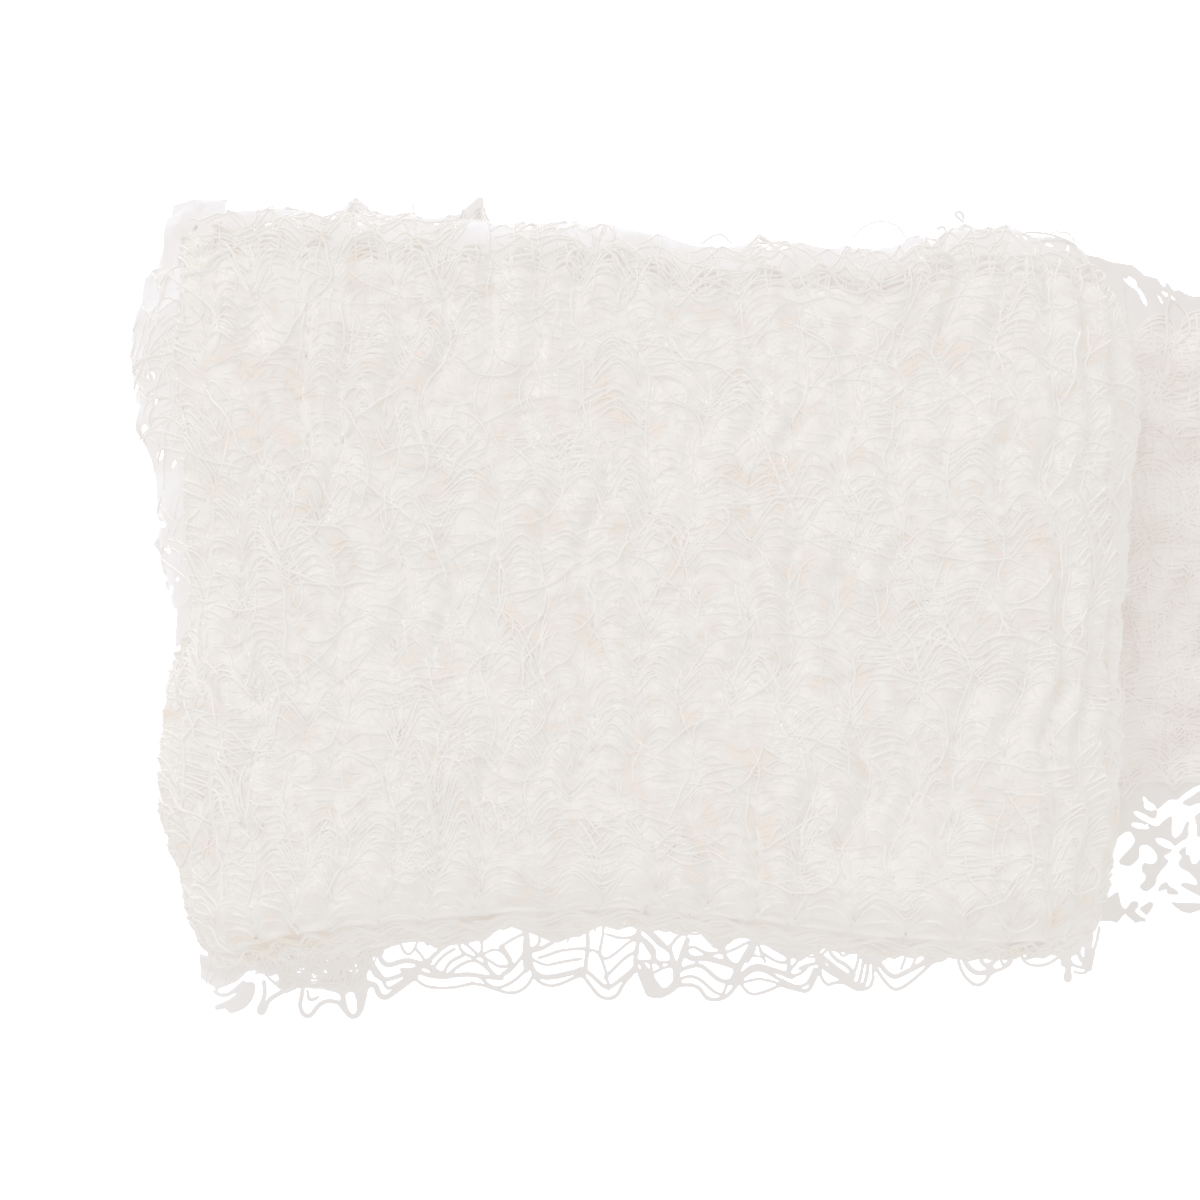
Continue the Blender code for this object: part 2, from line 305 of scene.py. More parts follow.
def tube_rings(paths, ups, radii):
    """The points round each yarn: paths and ups are (yarns, points, 3)."""
    ahead = unit(np.gradient(paths, axis=1))
    up = unit(ups - np.sum(ups * ahead, axis=-1, keepdims=True) * ahead)
    side = np.cross(ahead, up)
    turn = math.pi / 2 + 2 * math.pi * np.arange(YARN_SIDES) / YARN_SIDES
    outward = np.cos(turn)[:, None] * side[:, :, None, :] + np.sin(turn)[:, None] * up[:, :, None, :]
    rings = paths[:, :, None, :] + radii[:, :, None, None] * outward
    rings[..., 2] = np.maximum(rings[..., 2], LOWEST)
    return rings


def strip_map(count, steps, done, total):
    """The map of the quads and of the caps of count yarns, of total, with done strips before theirs."""
    strip = (done + np.arange(count))[:, None, None]
    low = (strip + STRIP_EDGE + (1 - 2 * STRIP_EDGE) * np.arange(YARN_SIDES) / YARN_SIDES) / total
    low = np.broadcast_to(low, (count, steps - 1, YARN_SIDES))
    high = low + (1 - 2 * STRIP_EDGE) / YARN_SIDES / total
    u = MAP_EDGE + (1 - 2 * MAP_EDGE) * np.arange(steps) / (steps - 1)
    near = np.broadcast_to(u[:-1][None, :, None], low.shape)
    far = np.broadcast_to(u[1:][None, :, None], low.shape)
    quad_map = np.stack([near, low, far, low, far, high, near, high], axis=-1)
    cap_maps = []
    for start in CAP_STARTS:
        first = np.full((count, 1), start)
        ends = [first, low[:, 0, :1], first + CAP_LENGTH, low[:, 0, :1], first, high[:, 0, -1:]]
        cap_maps.append(np.concatenate(ends, axis=1).reshape(-1, 2))
    return quad_map.reshape(-1, 2), cap_maps


def yarn_mesh(name, bundles):
    """One mesh of all the yarns in bundles, which are (paths, ups, radii), with a strip of map for each.

    Each yarn is a tube of quads with a cap at both ends.
    """
    total = sum(len(paths) for paths, _, _ in bundles)
    points, quads, caps, quad_map, cap_map = [], [], [], [], []
    first = 0
    done = 0
    for paths, ups, radii in bundles:
        count, steps = paths.shape[:2]
        rings = tube_rings(paths, ups, radii)
        points.append(rings.reshape(-1, 3))
        index = first + np.arange(rings.size // 3).reshape(count, steps, YARN_SIDES)
        after = np.roll(index, -1, axis=2)
        quad = [index[:, :-1], index[:, 1:], after[:, 1:], after[:, :-1]]
        quads.append(np.stack(quad, axis=-1).reshape(-1, 4))
        caps.append(index[:, 0])
        caps.append(index[:, -1, ::-1])
        bundle_map, cap_maps = strip_map(count, steps, done, total)
        quad_map.append(bundle_map)
        cap_map += cap_maps
        first += rings.size // 3
        done += count
    points = np.concatenate(points)
    quads = np.concatenate(quads)
    caps = np.concatenate(caps)
    corners = np.concatenate([quads.ravel(), caps.ravel()])
    starts = np.concatenate([4 * np.arange(len(quads)), 4 * len(quads) + YARN_SIDES * np.arange(len(caps))])
    return mesh_from(name, points, corners, starts, np.concatenate(quad_map + cap_map))


def mesh_from(name, points, corners, starts, corner_map):
    """A smooth mesh from arrays, with its map."""
    mesh = bpy.data.meshes.new(name)
    mesh.vertices.add(len(points))
    mesh.vertices.foreach_set("co", (points * MM).astype(np.float32).ravel())
    mesh.loops.add(len(corners))
    mesh.loops.foreach_set("vertex_index", corners.astype(np.int32))
    mesh.polygons.add(len(starts))
    mesh.polygons.foreach_set("loop_start", starts.astype(np.int32))
    layer = mesh.uv_layers.new(name="OFBake")
    layer.data.foreach_set("uv", corner_map.astype(np.float32).ravel())
    mesh.update(calc_edges=True)
    mesh.shade_smooth()
    return mesh


def yarn_radii(count, steps, thickness, seed):
    """Uneven thickness along each yarn, a little thinner at its two ends."""
    rng = np.random.default_rng(seed)
    own = rng.uniform(0.8, 1.2, (count, 1))
    along = np.arange(steps)[None, :] * np.ones((count, 1))
    uneven = 1 + 0.2 * noise(along / 4, np.arange(count)[:, None] * 3.7, seed + 1)
    ends = np.minimum(along, steps - 1 - along)
    return thickness * own * uneven * np.clip(0.6 + 0.4 * ends, 0, 1)


def arch(turn):
    """The shape of a yarn between two furrows: round on the crinkle, with a cusp at each furrow."""
    return 0.5 * np.cos(turn) + 0.5 * (2 * np.abs(np.cos(turn / 2)) - 1)


def shift(s, c, ply):
    """How far crinkling moves a point of the cloth, along and across it.

    Within a few millimetres of an edge the bows all go one way, which makes its scallops.
    """
    seed = ply["seed"]
    here = phase(s, c) + 0.9 * noise(s / 7, c / 4, seed + 5)
    grow = np.tanh(2.4 * noise(s / 6, c / 4.5, seed) + 0.5)
    from_front = np.clip(1.15 - c / 7, 0, 1)
    from_back = np.clip(1 - (DEPTH - c) / 6, 0, 1)
    grow = grow * (1 - from_front) * (1 - from_back)
    grow = grow + ply["front_bow"] * from_front + ply["back_bow"] * from_back
    bunches = 0.42 * noise(s / 3.6, c / 1.25, seed + 1) + 0.3 * noise(s / 1.7, c / 2.2, seed + 8)
    across = ply["bow"] * grow * arch(here) + bunches
    along = 0.5 * np.sin(here) + 0.5 * noise(s / 2.6, c / 3.0, seed + 2)
    return along, across


def woven(place, s, c, own, lift, thickness, seed, ply):
    """Yarns of a ply at (s, c), each with its own way along and across and its lift off the ply."""
    along, across = shift(s, c, ply)
    lift = lift - slack(s, c, ply["slack_from"], 3)
    points, ups = place(s + along + own[0], c + across + own[1], lift)
    return points, ups, yarn_radii(*c.shape, thickness, seed)


def warp_bundle(place, s_values, rows, ply):
    """The long yarns: rows holds each yarn's place across the cloth, one row for each yarn."""
    s = np.broadcast_to(s_values, rows.shape)
    number = np.arange(len(rows))[:, None]
    seed = ply["seed"]
    free = ease(3 * noise(number * 5.1, s / 12, seed + 7) - 0.9)
    own = (0.2 + 0.5 * free) * noise(s / 1.3, number * 7.3, seed + 3)
    loose = 0.08 * noise(s / 1.9, number * 9.1, seed + 4) + 0.16 * free
    weave = WEAVE * np.cos(math.pi * (s / ply["weft"] + number))
    return woven(place, s, rows, (0, own), ply["lift"] + weave + loose, ply["yarn"], seed, ply)


def weft_bundle(place, s_each, columns, ply):
    """The cross yarns: columns holds places across the cloth, one row for each yarn."""
    s = s_each[:, None] * np.ones_like(columns)
    number = np.arange(len(columns))[:, None]
    seed = ply["seed"]
    own = 0.3 * noise(columns / 1.6, number * 7.9, seed + 13)
    loose = 0.08 * noise(columns / 1.9, number * 9.7, seed + 14)
    weave = WEAVE * np.cos(math.pi * (columns / ply["warp"] + number))
    lift = ply["lift"] - weave + loose
    return woven(place, s, columns, (own, 0), lift, 0.95 * ply["yarn"], seed + 15, ply)


def rows_between(front, back, pitch):
    """Places across the cloth for each long yarn, with three close together at each edge."""
    width = float(np.mean(back - front))
    inner = np.arange(1.1, width - 1.0, pitch)
    offsets = np.concatenate([[0, 0.35, 0.7], inner, [width - 0.7, width - 0.35, width]])
    shares = offsets / width
    return front[None, :] + (back - front)[None, :] * shares[:, None]


def ply_bundles(place, ply):
    """The long and the cross yarns of one ply."""
    s = np.arange(ply["from_s"], ply["to_s"], ply["step"])
    front = ply["front"] + ply["wander"] * noise(s / 8, s * 0, ply["seed"] + 20)
    back = ply["back"] + ply["wander"] * noise(s / 8, s * 0, ply["seed"] + 21)
    warp = warp_bundle(place, s, rows_between(front, back, ply["warp"]), ply)
    s_each = np.arange(ply["from_s"], ply["to_s"], ply["weft"])
    front_each = np.interp(s_each, s, front)
    back_each = np.interp(s_each, s, back)
    t = np.linspace(0, 1, int((ply["back"] - ply["front"]) / ply["step"]))
    columns = front_each[:, None] + (back_each - front_each)[:, None] * t
    return warp, weft_bundle(place, s_each, columns, ply)


# ---------------- meshes and pieces
def add_object(name, data):
    """An object in the scene."""
    made = bpy.data.objects.new(name, data)
    bpy.context.scene.collection.objects.link(made)
    return made


def add_piece(name, mesh, finish):
    """A shown piece of the object, which rides on its one body."""
    mesh.materials.append(finish)
    piece = add_object(name, mesh)
    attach(piece, "root")
    return piece


def add_yarns(name, bundles, finish):
    """A piece of all the yarns in bundles."""
    return add_piece(name, yarn_mesh(name, bundles), finish)


def grid_mesh(name, points):
    """A closed mesh of a grid of points, (rows, columns, 3), joined round its columns, with flat ends."""
    rows, columns = points.shape[:2]
    index = np.arange(rows * columns).reshape(rows, columns)
    index = np.concatenate([index, index[:, :1]], axis=1)
    quad = [index[:-1, :-1], index[:-1, 1:], index[1:, 1:], index[1:, :-1]]
    faces = np.stack(quad, axis=-1).reshape(-1, 4).tolist()
    for row in (index[0, :-1][::-1], index[-1, :-1]):
        for i in range(columns // 2 - 1):
            faces.append([int(row[j]) for j in (i, i + 1, columns - 2 - i, columns - 1 - i)])
    mesh = bpy.data.meshes.new(name)
    mesh.from_pydata((points.reshape(-1, 3) * MM).tolist(), [], faces)
    mesh.update()
    mesh.shade_smooth()
    return mesh


# ---------------- webs
def thread_path(thread):
    """A thread's path from its row, with its corners cut twice, which makes it smooth; its two ends stay."""
    path = np.reshape(thread[1:], (-1, 2)) / 10
    for _ in range(2):
        early = 0.75 * path[:-1] + 0.25 * path[1:]
        late = 0.25 * path[:-1] + 0.75 * path[1:]
        middle = np.stack([early, late], axis=1).reshape(-1, 2)
        path = np.concatenate([path[:1], middle, path[-1:]])
    return path


def thread_field(x, y, thread):
    """A thread's part of a web's field: 1 on its path, and half at its radius."""
    field = np.zeros((len(x), len(y)))
    path = thread_path(thread)
    radius = thread[0]
    reach = 2.5 * radius
    for start, end in zip(path, path[1:]):
        low = np.minimum(start, end) - reach
        high = np.maximum(start, end) + reach
        i, i_end = np.searchsorted(x, (low[0], high[0]))
        j, j_end = np.searchsorted(y, (low[1], high[1]))
        off_x = x[i:i_end, None] - start[0]
        off_y = y[None, j:j_end] - start[1]
        way_x, way_y = end - start
        share = (off_x * way_x + off_y * way_y) / max(way_x**2 + way_y**2, 1e-9)
        share = np.clip(share, 0, 1)
        far = (off_x - share * way_x) ** 2 + (off_y - share * way_y) ** 2
        window = field[i:i_end, j:j_end]
        np.maximum(window, 0.5 ** (far / radius**2), out=window)
    return field


def hole_field(x, y, place_x, place_y, length, width, angle):
    """A long round hole's part of a web's field, to be taken off it."""
    turn = math.radians(angle)
    off_x = x[:, None] - place_x
    off_y = y[None, :] - place_y
    along = off_x * math.cos(turn) + off_y * math.sin(turn)
    across = off_y * math.cos(turn) - off_x * math.sin(turn)
    return 0.5 ** ((2 * along / length) ** 2 + (2 * across / width) ** 2)


def web_field(x, y, patch, holes, threads):
    """A web's field: a patch, less its holes, with threads added."""
    field = np.clip(patch, 0, 1)
    for hole in holes:
        field = field - hole_field(x, y, *hole)
    field = np.clip(field, 0, 1)
    for thread in threads:
        field = field + thread_field(x, y, thread)
    return field


def make_web(name, region, patch, height, finish, holes, threads=()):
    """A thin sheet where its field is over a half, with its outline drawn smoothly through the cells.

    region is (low x, high x, low y, high y, cell); patch and height are functions of x and y.
    """
    low_x, high_x, low_y, high_y, cell = region
    x = np.arange(low_x, high_x, cell)
    y = np.arange(low_y, high_y, cell)
    grid_x, grid_y = np.meshgrid(x, y, indexing="ij")
    field = web_field(x, y, patch(grid_x, grid_y), holes, threads)
    inside = (field[:-1, :-1] + field[1:, :-1] + field[:-1, 1:] + field[1:, 1:]) > 2
    used = np.zeros(field.shape, dtype=int)
    for i, j in ((0, 0), (0, 1), (1, 0), (1, 1)):
        used[i : i + inside.shape[0], j : j + inside.shape[1]] += inside
    slope_x, slope_y = np.gradient(field, cell)
    steep = np.maximum(np.hypot(slope_x, slope_y), 1e-6)
    way = np.clip((0.5 - field) / steep, -0.6 * cell, 0.6 * cell)
    way = np.where((used > 0) & (used < 4), way, 0)
    grid_x = grid_x + way * slope_x / steep
    grid_y = grid_y + way * slope_y / steep
    full = np.sqrt(np.clip(2 * field - 1, 0, 1))
    points = xyz(grid_x, grid_y, height(grid_x, grid_y) + WEB_THICK * full)
    number = np.cumsum(used.ravel() > 0).reshape(used.shape) - 1
    quad = [number[:-1, :-1], number[1:, :-1], number[1:, 1:], number[:-1, 1:]]
    corners = np.stack(quad, axis=-1)[inside].ravel()
    points = points[used > 0]
    plan = (points[:, :2] - (low_x, low_y)) / (high_x - low_x, high_y - low_y)
    starts = np.arange(0, len(corners), 4)
    mesh = mesh_from(name, points, corners, starts, np.clip(plan, 0, 1)[corners])
    return add_piece(name, mesh, finish)


# ---------------- materials
COTTON = {"Roughness": 0.9, "Specular IOR Level": 0.25, "Sheen Weight": 0.15, "Sheen Roughness": 0.5}
FIBRE_SCALE = 1900
FIBRE_DEPTH = 0.06
DRIFT_SCALE = 190  # the broader of the two noises that colour the cloth
DRIFT_SHARE = 0.45


def new_material(name, looks):
    """A material and its shader, with the looks that are given for the shader's inputs."""
    made = bpy.data.materials.new(name)
    made.use_nodes = True
    shader = made.node_tree.nodes["Principled BSDF"]
    for socket, value in looks.items():
        shader.inputs[socket].default_value = value
    return made, shader


def texture(tree, place, scale, detail):
    """The value of a noise over the piece."""
    noisy = tree.nodes.new("ShaderNodeTexNoise")
    noisy.inputs["Scale"].default_value = scale
    noisy.inputs["Detail"].default_value = detail
    tree.links.new(place.outputs["Object"], noisy.inputs["Vector"])
    return noisy.outputs["Fac"]


def scaled(tree, operation, value, factor):
    """A node that multiplies a value by a factor."""
    node = tree.nodes.new("ShaderNodeMath")
    node.operation = operation
    node.inputs[1].default_value = factor
    tree.links.new(value, node.inputs[0])
    return node


def cotton(name, tones, scale, bump=0.35):
    """Matt cotton, uneven in colour by two noises, with a fine fibre bump."""
    made, shader = new_material(name, COTTON)
    tree = made.node_tree
    place = tree.nodes.new("ShaderNodeTexCoord")
    near = scaled(tree, "MULTIPLY", texture(tree, place, scale, 4), 1 - DRIFT_SHARE)
    both = scaled(tree, "MULTIPLY_ADD", texture(tree, place, DRIFT_SCALE, 2), DRIFT_SHARE)
    tree.links.new(near.outputs["Value"], both.inputs[2])
    ramp = tree.nodes.new("ShaderNodeValToRGB")
    elements = ramp.color_ramp.elements
    while len(elements) < len(tones):
        elements.new(0.5)
    for element, (share, colour) in zip(elements, tones):
        element.position = share
        element.color = (*colour, 1)
    tree.links.new(both.outputs["Value"], ramp.inputs["Fac"])
    tree.links.new(ramp.outputs["Color"], shader.inputs["Base Color"])
    grain = tree.nodes.new("ShaderNodeBump")
    grain.inputs["Strength"].default_value = bump
    grain.inputs["Distance"].default_value = FIBRE_DEPTH * MM
    tree.links.new(texture(tree, place, FIBRE_SCALE, 3), grain.inputs["Height"])
    tree.links.new(grain.outputs["Normal"], shader.inputs["Normal"])
    return made


CLOTHS = {
    # tones as (share, colour) from dark to light, and the scale of the finer noise between them
    # The body's cotton is darker than the yarns': painted shade where it shows between and under them; the
    # spread of its tones is at random.
    "body_cotton_painted_shade": dict(scale=520, bump=0.6, tones=[
        (0.39, (0.84, 0.68, 0.55)), (0.43, (0.76, 0.73, 0.69)),
        (0.56, (0.93, 0.91, 0.885)), (0.61, (0.86, 0.85, 0.75)),
    ]),
    "ply_cotton": dict(scale=520, tones=[
        (0.39, (0.92, 0.73, 0.57)), (0.43, (0.78, 0.755, 0.72)), (0.50, (0.91, 0.895, 0.87)),
        (0.57, (0.985, 0.975, 0.955)), (0.62, (0.92, 0.915, 0.82)),
    ]),
    "strand_cotton": dict(scale=160, tones=[(0.36, (0.97, 0.96, 0.945)), (0.64, (0.985, 0.98, 0.97))]),
    "edge_cotton": dict(scale=300, tones=[(0.43, (0.80, 0.80, 0.83)), (0.57, (0.88, 0.88, 0.91))]),
    "net_cotton": dict(scale=300, tones=[(0.43, (0.84, 0.87, 0.95)), (0.57, (0.92, 0.95, 1.0))]),
    # The loose end's cotton: its dark tone, darker and warmer than the plies', is painted shade of the roll
    # on it; the spread between its tones is at random.
    "loose_end_cotton": dict(scale=160, tones=[(0.40, (0.68, 0.60, 0.58)), (0.57, (1.0, 0.975, 0.965))]),
    # The loose end's open edges: the front net's cotton made much darker, as painted shade of the roll on
    # them.
    "loose_end_net_painted_shade": dict(scale=300, tones=[
        (0.43, (0.55, 0.57, 0.62)), (0.57, (0.65, 0.67, 0.72)),
    ]),
}


# ---------------- the roll
BASE_DEPTH = 0.07  # how far the body lies under the roll's outer form
FACE_DEPTH = 7.6  # how far down an end face its grid goes past the rim
BASE_COLUMNS = 250
END_STEP = 0.5
MIDDLE_STEP = 0.9
UNDERSIDE = 0.35  # how far the body's underside lies above the floor
TURN_PITCH = 1.05
TURNS = 8
TURN_STRANDS = 2
TURN_YARN = 0.16
TURN_SEED = 400
TURN_PLACES = (-110, 104, 0.95)  # from, to and step along the gauze
STRAND_GAP = 0.25
BACK_TURNS_DEPTH = 3.0  # how much deeper the turns lie at the back end than at the front
GROOVE = 0.5  # how deep the turns' grooves are in the body's end faces

# A ply's lift off the outer form, the pitch of its long and its cross yarns, the step along them, its
# place along and across the gauze, how far its ends wander, where it turns slack, and its bows.
EACH_PLY = dict(from_s=-74, to_s=68, back=68.0, back_bow=0.6)
PLIES = [
    # the plies of the roll that show, from the outermost in
    dict(EACH_PLY, name="top_ply", lift=-0.1, warp=0.78, weft=1.3, step=0.5, front=2.0, wander=1.3,
         slack_from=66.0, seed=100, yarn=0.18, bow=1.3, front_bow=1.3),
    dict(EACH_PLY, name="second_ply", lift=-0.16, warp=0.8, weft=1.45, step=0.62, front=-1.6, wander=0.9,
         slack_from=65.2, seed=201, yarn=0.20, bow=1.1, front_bow=1.1),
]


def make_body(finish):
    """The soft body that the plies lie on, closed, with the turns' grooves in its two end faces."""
    lowest = RIM - RIM * math.pi / 2 - FACE_DEPTH
    front_end = np.arange(lowest, RIM, END_STEP)
    back_end = np.arange(DEPTH - RIM, DEPTH - lowest + 0.1, END_STEP)
    c = np.concatenate([front_end, np.arange(RIM, DEPTH - RIM, MIDDLE_STEP), back_end])
    distance, inset, _ = over_rim(np.where(c < DEPTH / 2, c, DEPTH - c))
    share = np.where(c < DEPTH / 2, distance, DEPTH - distance) / DEPTH
    left, right = sides_at(share)
    flat = (right - RIGHT_REACH) - (left + LEFT_REACH)
    start = left + LEFT_REACH - LEFT_ARC * math.pi - flat / 2
    end = right - RIGHT_REACH + RIGHT_ARC * math.pi + flat / 2
    t = np.linspace(0, 1, BASE_COLUMNS, endpoint=False)
    s = start[:, None] + (end - start)[:, None] * t
    across = np.broadcast_to(c[:, None], s.shape)
    past = np.clip(np.broadcast_to(inset[:, None], s.shape) - RIM, 0, None)
    groove = GROOVE * np.cos(2 * math.pi * past / TURN_PITCH) * np.clip(past / 0.6, 0, 1)
    low = np.clip((np.abs(s) - 60) / 12, 0, 1)
    rough = 0.1 * noise(s / 1.3, across / 1.5, 31) + 0.05 * noise(s / 0.5, across / 0.5, 32)
    lift = groove + rough - BASE_DEPTH * (1 - 0.6 * low) - slack(s, across, 64.0, 4)
    points, _ = roll_point(s, across, lift)
    points[..., 2] = np.maximum(points[..., 2], UNDERSIDE)
    points = np.roll(points, -BASE_COLUMNS // 4, axis=1)  # so that the ends close from top to bottom
    piece = add_piece("roll_body", grid_mesh("roll_body", points), finish)
    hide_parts("gauze_roll")


def make_plies(finish):
    """The plies, each as a piece for its long yarns and one for its cross yarns."""
    for ply in PLIES:
        for kind, bundle in zip(("warp", "weft"), ply_bundles(roll_point, ply)):
            name = ply["name"] + "_" + kind
            add_yarns(name, [bundle], finish)


def make_turns(finish):
    """The edges of the wound turns at the two ends: wavy yarns, which reach out to the net at the front."""
    for name, at_front in (("front_turns", True), ("back_turns", False)):
        bundles = []
        for turn in range(TURNS):
            for strand in range(TURN_STRANDS):
                seed = TURN_SEED + 10 * turn + strand + (0 if at_front else 5)
                c = RIM - RIM * math.pi / 2 - 0.1 - TURN_PITCH * turn - STRAND_GAP * strand
                s = np.arange(*TURN_PLACES)[None, :]
                bow = arch(phase(s, np.full_like(s, 2.0 * turn)) + 0.8 * noise(s / 6, s * 0, seed + 4))
                across = c + 0.28 * bow + 0.18 * noise(s / 1.7, s * 0, seed)
                lift = 0.35 - 0.3 * strand + 0.3 * noise(s / 9, s * 0, seed + 3) + 0.4 * (1 - bow)
                if at_front:
                    reach = np.clip(at(ENDS, s, FRONT) - at(NET_DENSE, s) - 0.3, 0, 1.6)
                    lift = lift + reach * ease((56 - np.abs(s)) / 12) * (turn + 0.5 * strand) / TURNS
                else:
                    across = DEPTH - across
                    lift = lift - BACK_TURNS_DEPTH
                points, ups = roll_point(s, across, lift)
                bundles.append((points, ups, yarn_radii(*s.shape, TURN_YARN, seed + 6)))
        add_yarns(name, bundles, finish)


def hump(steps):
    """The rise of a yarn along its length: none at its two ends and full in its middle."""
    return np.sin(math.pi * np.linspace(0, 1, steps))


def curls(count, steps, low, high, turned, rng):
    """The places of short curly yarns, in random arcs between the corners low and high.

    turned is the share of them that goes across the gauze.
    """
    a = rng.uniform(low[0], high[0], (count, 1))
    b = rng.uniform(low[1], high[1], (count, 1))
    step = rng.uniform(0.3, 0.85, (count, 1))
    heading = np.where(rng.random((count, 1)) < turned, math.pi / 2, 0)
    heading = heading + rng.normal(0, 0.45, (count, 1))
    bend = rng.normal(0, 0.24, (count, 1)) / step * 0.5
    wobble = np.cumsum(rng.normal(0, 0.2, (count, steps)), axis=1)
    turn = heading + bend * step * np.arange(steps) + wobble
    a = a + np.cumsum(step * np.cos(turn), axis=1)
    b = b + np.cumsum(step * np.sin(turn), axis=1)
    return a, b, rng.uniform(0.0, 0.3, (count, 1)) * hump(steps)


STRAYS = 330
STRAY_STEPS = 13
STRAY_YARN = 0.16
STRAY_SEED = 801
NESTS = 190  # groups of long yarns that have bulged into nested arches between two furrows
NEST_YARNS = 4
NEST_GAP = 0.75
UPRIGHTS = 300  # cross yarns that stand out along a furrow


def nests(low, high, rng):
    """The places of the long yarns in each nest of arches, between the corners low and high."""
    each_nest = (NESTS, 1, 1)
    each_yarn = (NESTS, NEST_YARNS, 1)
    middle = rng.uniform(low[0], high[0], each_nest)
    start = rng.uniform(low[1], high[1], each_nest)
    reach = rng.uniform(1.6, 4.2, each_nest) * rng.uniform(0.7, 1.2, each_yarn)
    side = middle + rng.uniform(-0.6, 0.6, each_yarn)
    s = side + reach * np.linspace(-1, 1, STRAY_STEPS)
    number = np.arange(NEST_YARNS)[None, :, None]
    c = start + (number + rng.uniform(-0.25, 0.25, each_yarn)) * NEST_GAP
    bow = rng.normal(1.1, 0.7, each_nest) * rng.uniform(0.8, 1.2, each_yarn)
    wave = 0.22 * noise(s / 1.3, c * 3.1, 807) + 0.3 * noise(s / 2.9, c / 1.1, 808)
    c = c + bow * arch(phase(s, c)) + wave
    rise = rng.uniform(0.0, 0.16, each_yarn) * hump(STRAY_STEPS)
    return [part.reshape(-1, STRAY_STEPS) for part in (s, c, rise)]


def uprights(low, high, rng):
    """The places of the cross yarns that stand out along the furrows."""
    inside = FURROWS[(FURROWS > low[0]) & (FURROWS < high[0])]
    furrow = rng.choice(inside, (UPRIGHTS, 1)) + rng.normal(0, 0.5, (UPRIGHTS, 1))
    start = rng.uniform(low[1], high[1], (UPRIGHTS, 1))
    c = start + rng.uniform(3, 8, (UPRIGHTS, 1)) * np.linspace(0, 1, STRAY_STEPS)
    s = furrow - wander(furrow, c) + 0.4 * noise(c / 1.6, furrow * 7.7, 809)
    return s, c, rng.uniform(0.0, 0.2, (UPRIGHTS, 1)) * hump(STRAY_STEPS)


def make_strays(finish):
    """Yarns that stand out of the weave: nested arches, uprights along the furrows, and curls."""
    rng = np.random.default_rng(STRAY_SEED)
    bundles = []
    kinds = [
        nests((-58, 1.5), (52, 65), rng),
        uprights((-46, 0), (48, 62), rng),
        curls(STRAYS, STRAY_STEPS, (-60, 1.5), (54, 66), 0.4, rng),
    ]
    for kind, (s, c, rise) in enumerate(kinds):
        points, ups = roll_point(s, c, 0.06 + rise - slack(s, c, 66.0, 3))
        bundles.append((points, ups, yarn_radii(*s.shape, STRAY_YARN, STRAY_SEED + 1 + kind)))
    add_yarns("stray_yarns", bundles, finish)


# ---------------- the loose and torn edges
LEFT_EDGE = np.array([
    # y, x of the loose turn's outline at the left
    (-8.2, -45.7), (-7.4, -45.6), (-4.2, -45.7), (-3.9, -46.2), (-2.4, -46.5), (-1.2, -47.1),
    (0.6, -47.4), (2.1, -47.7), (2.8, -48.3), (4.1, -47.5), (5.6, -47.8), (8.4, -47.9), (11.1, -48.4),
    (12.6, -49.1), (13.6, -49.8), (14.6, -50.3), (15.6, -50.2), (16.4, -49.4), (17, -50.2),
    (18.6, -50.3), (20.2, -50.4), (21.1, -50.7), (23.1, -50.6), (24.6, -50.3), (26.6, -49.4),
    (29.2, -49.1), (30.4, -47.8), (33.1, -47.1), (36.6, -46.3),
])
LEFT_HOLES = [
    # x, y, length, width, angle
    (-49.1, 13.9, 1.1, 0.9, 70), (-47.2, 11.1, 1.1, 0.8, 60), (-45.6, 10.0, 1.1, 0.35, 60),
    (-47.7, 4.5, 0.7, 0.4, 80), (-46.9, 4.3, 0.9, 0.7, -30), (-47.0, 1.9, 0.6, 0.5, 40),
    (-46.3, 1.6, 0.7, 0.4, -70), (-47.1, -0.6, 0.8, 0.5, -50), (-45.3, -1.4, 0.5, 0.4, 0),
    (-46.2, -2.2, 0.9, 0.6, 80), (-45.9, -4.8, 1.4, 0.9, 80), (-50.3, 22.7, 0.6, 0.4, 90),
    (-49.8, 20.7, 0.6, 0.35, 0), (-48.1, 18.8, 1.1, 0.9, -60), (-49.8, 18.4, 1.0, 0.5, 90),
    (-47.6, 16.4, 1.0, 0.35, 85), (-46.7, 28.2, 0.8, 0.35, 80), (-47.8, 29.7, 0.8, 0.4, 75),
    (-46.8, 32.1, 1.8, 0.35, 85),
]
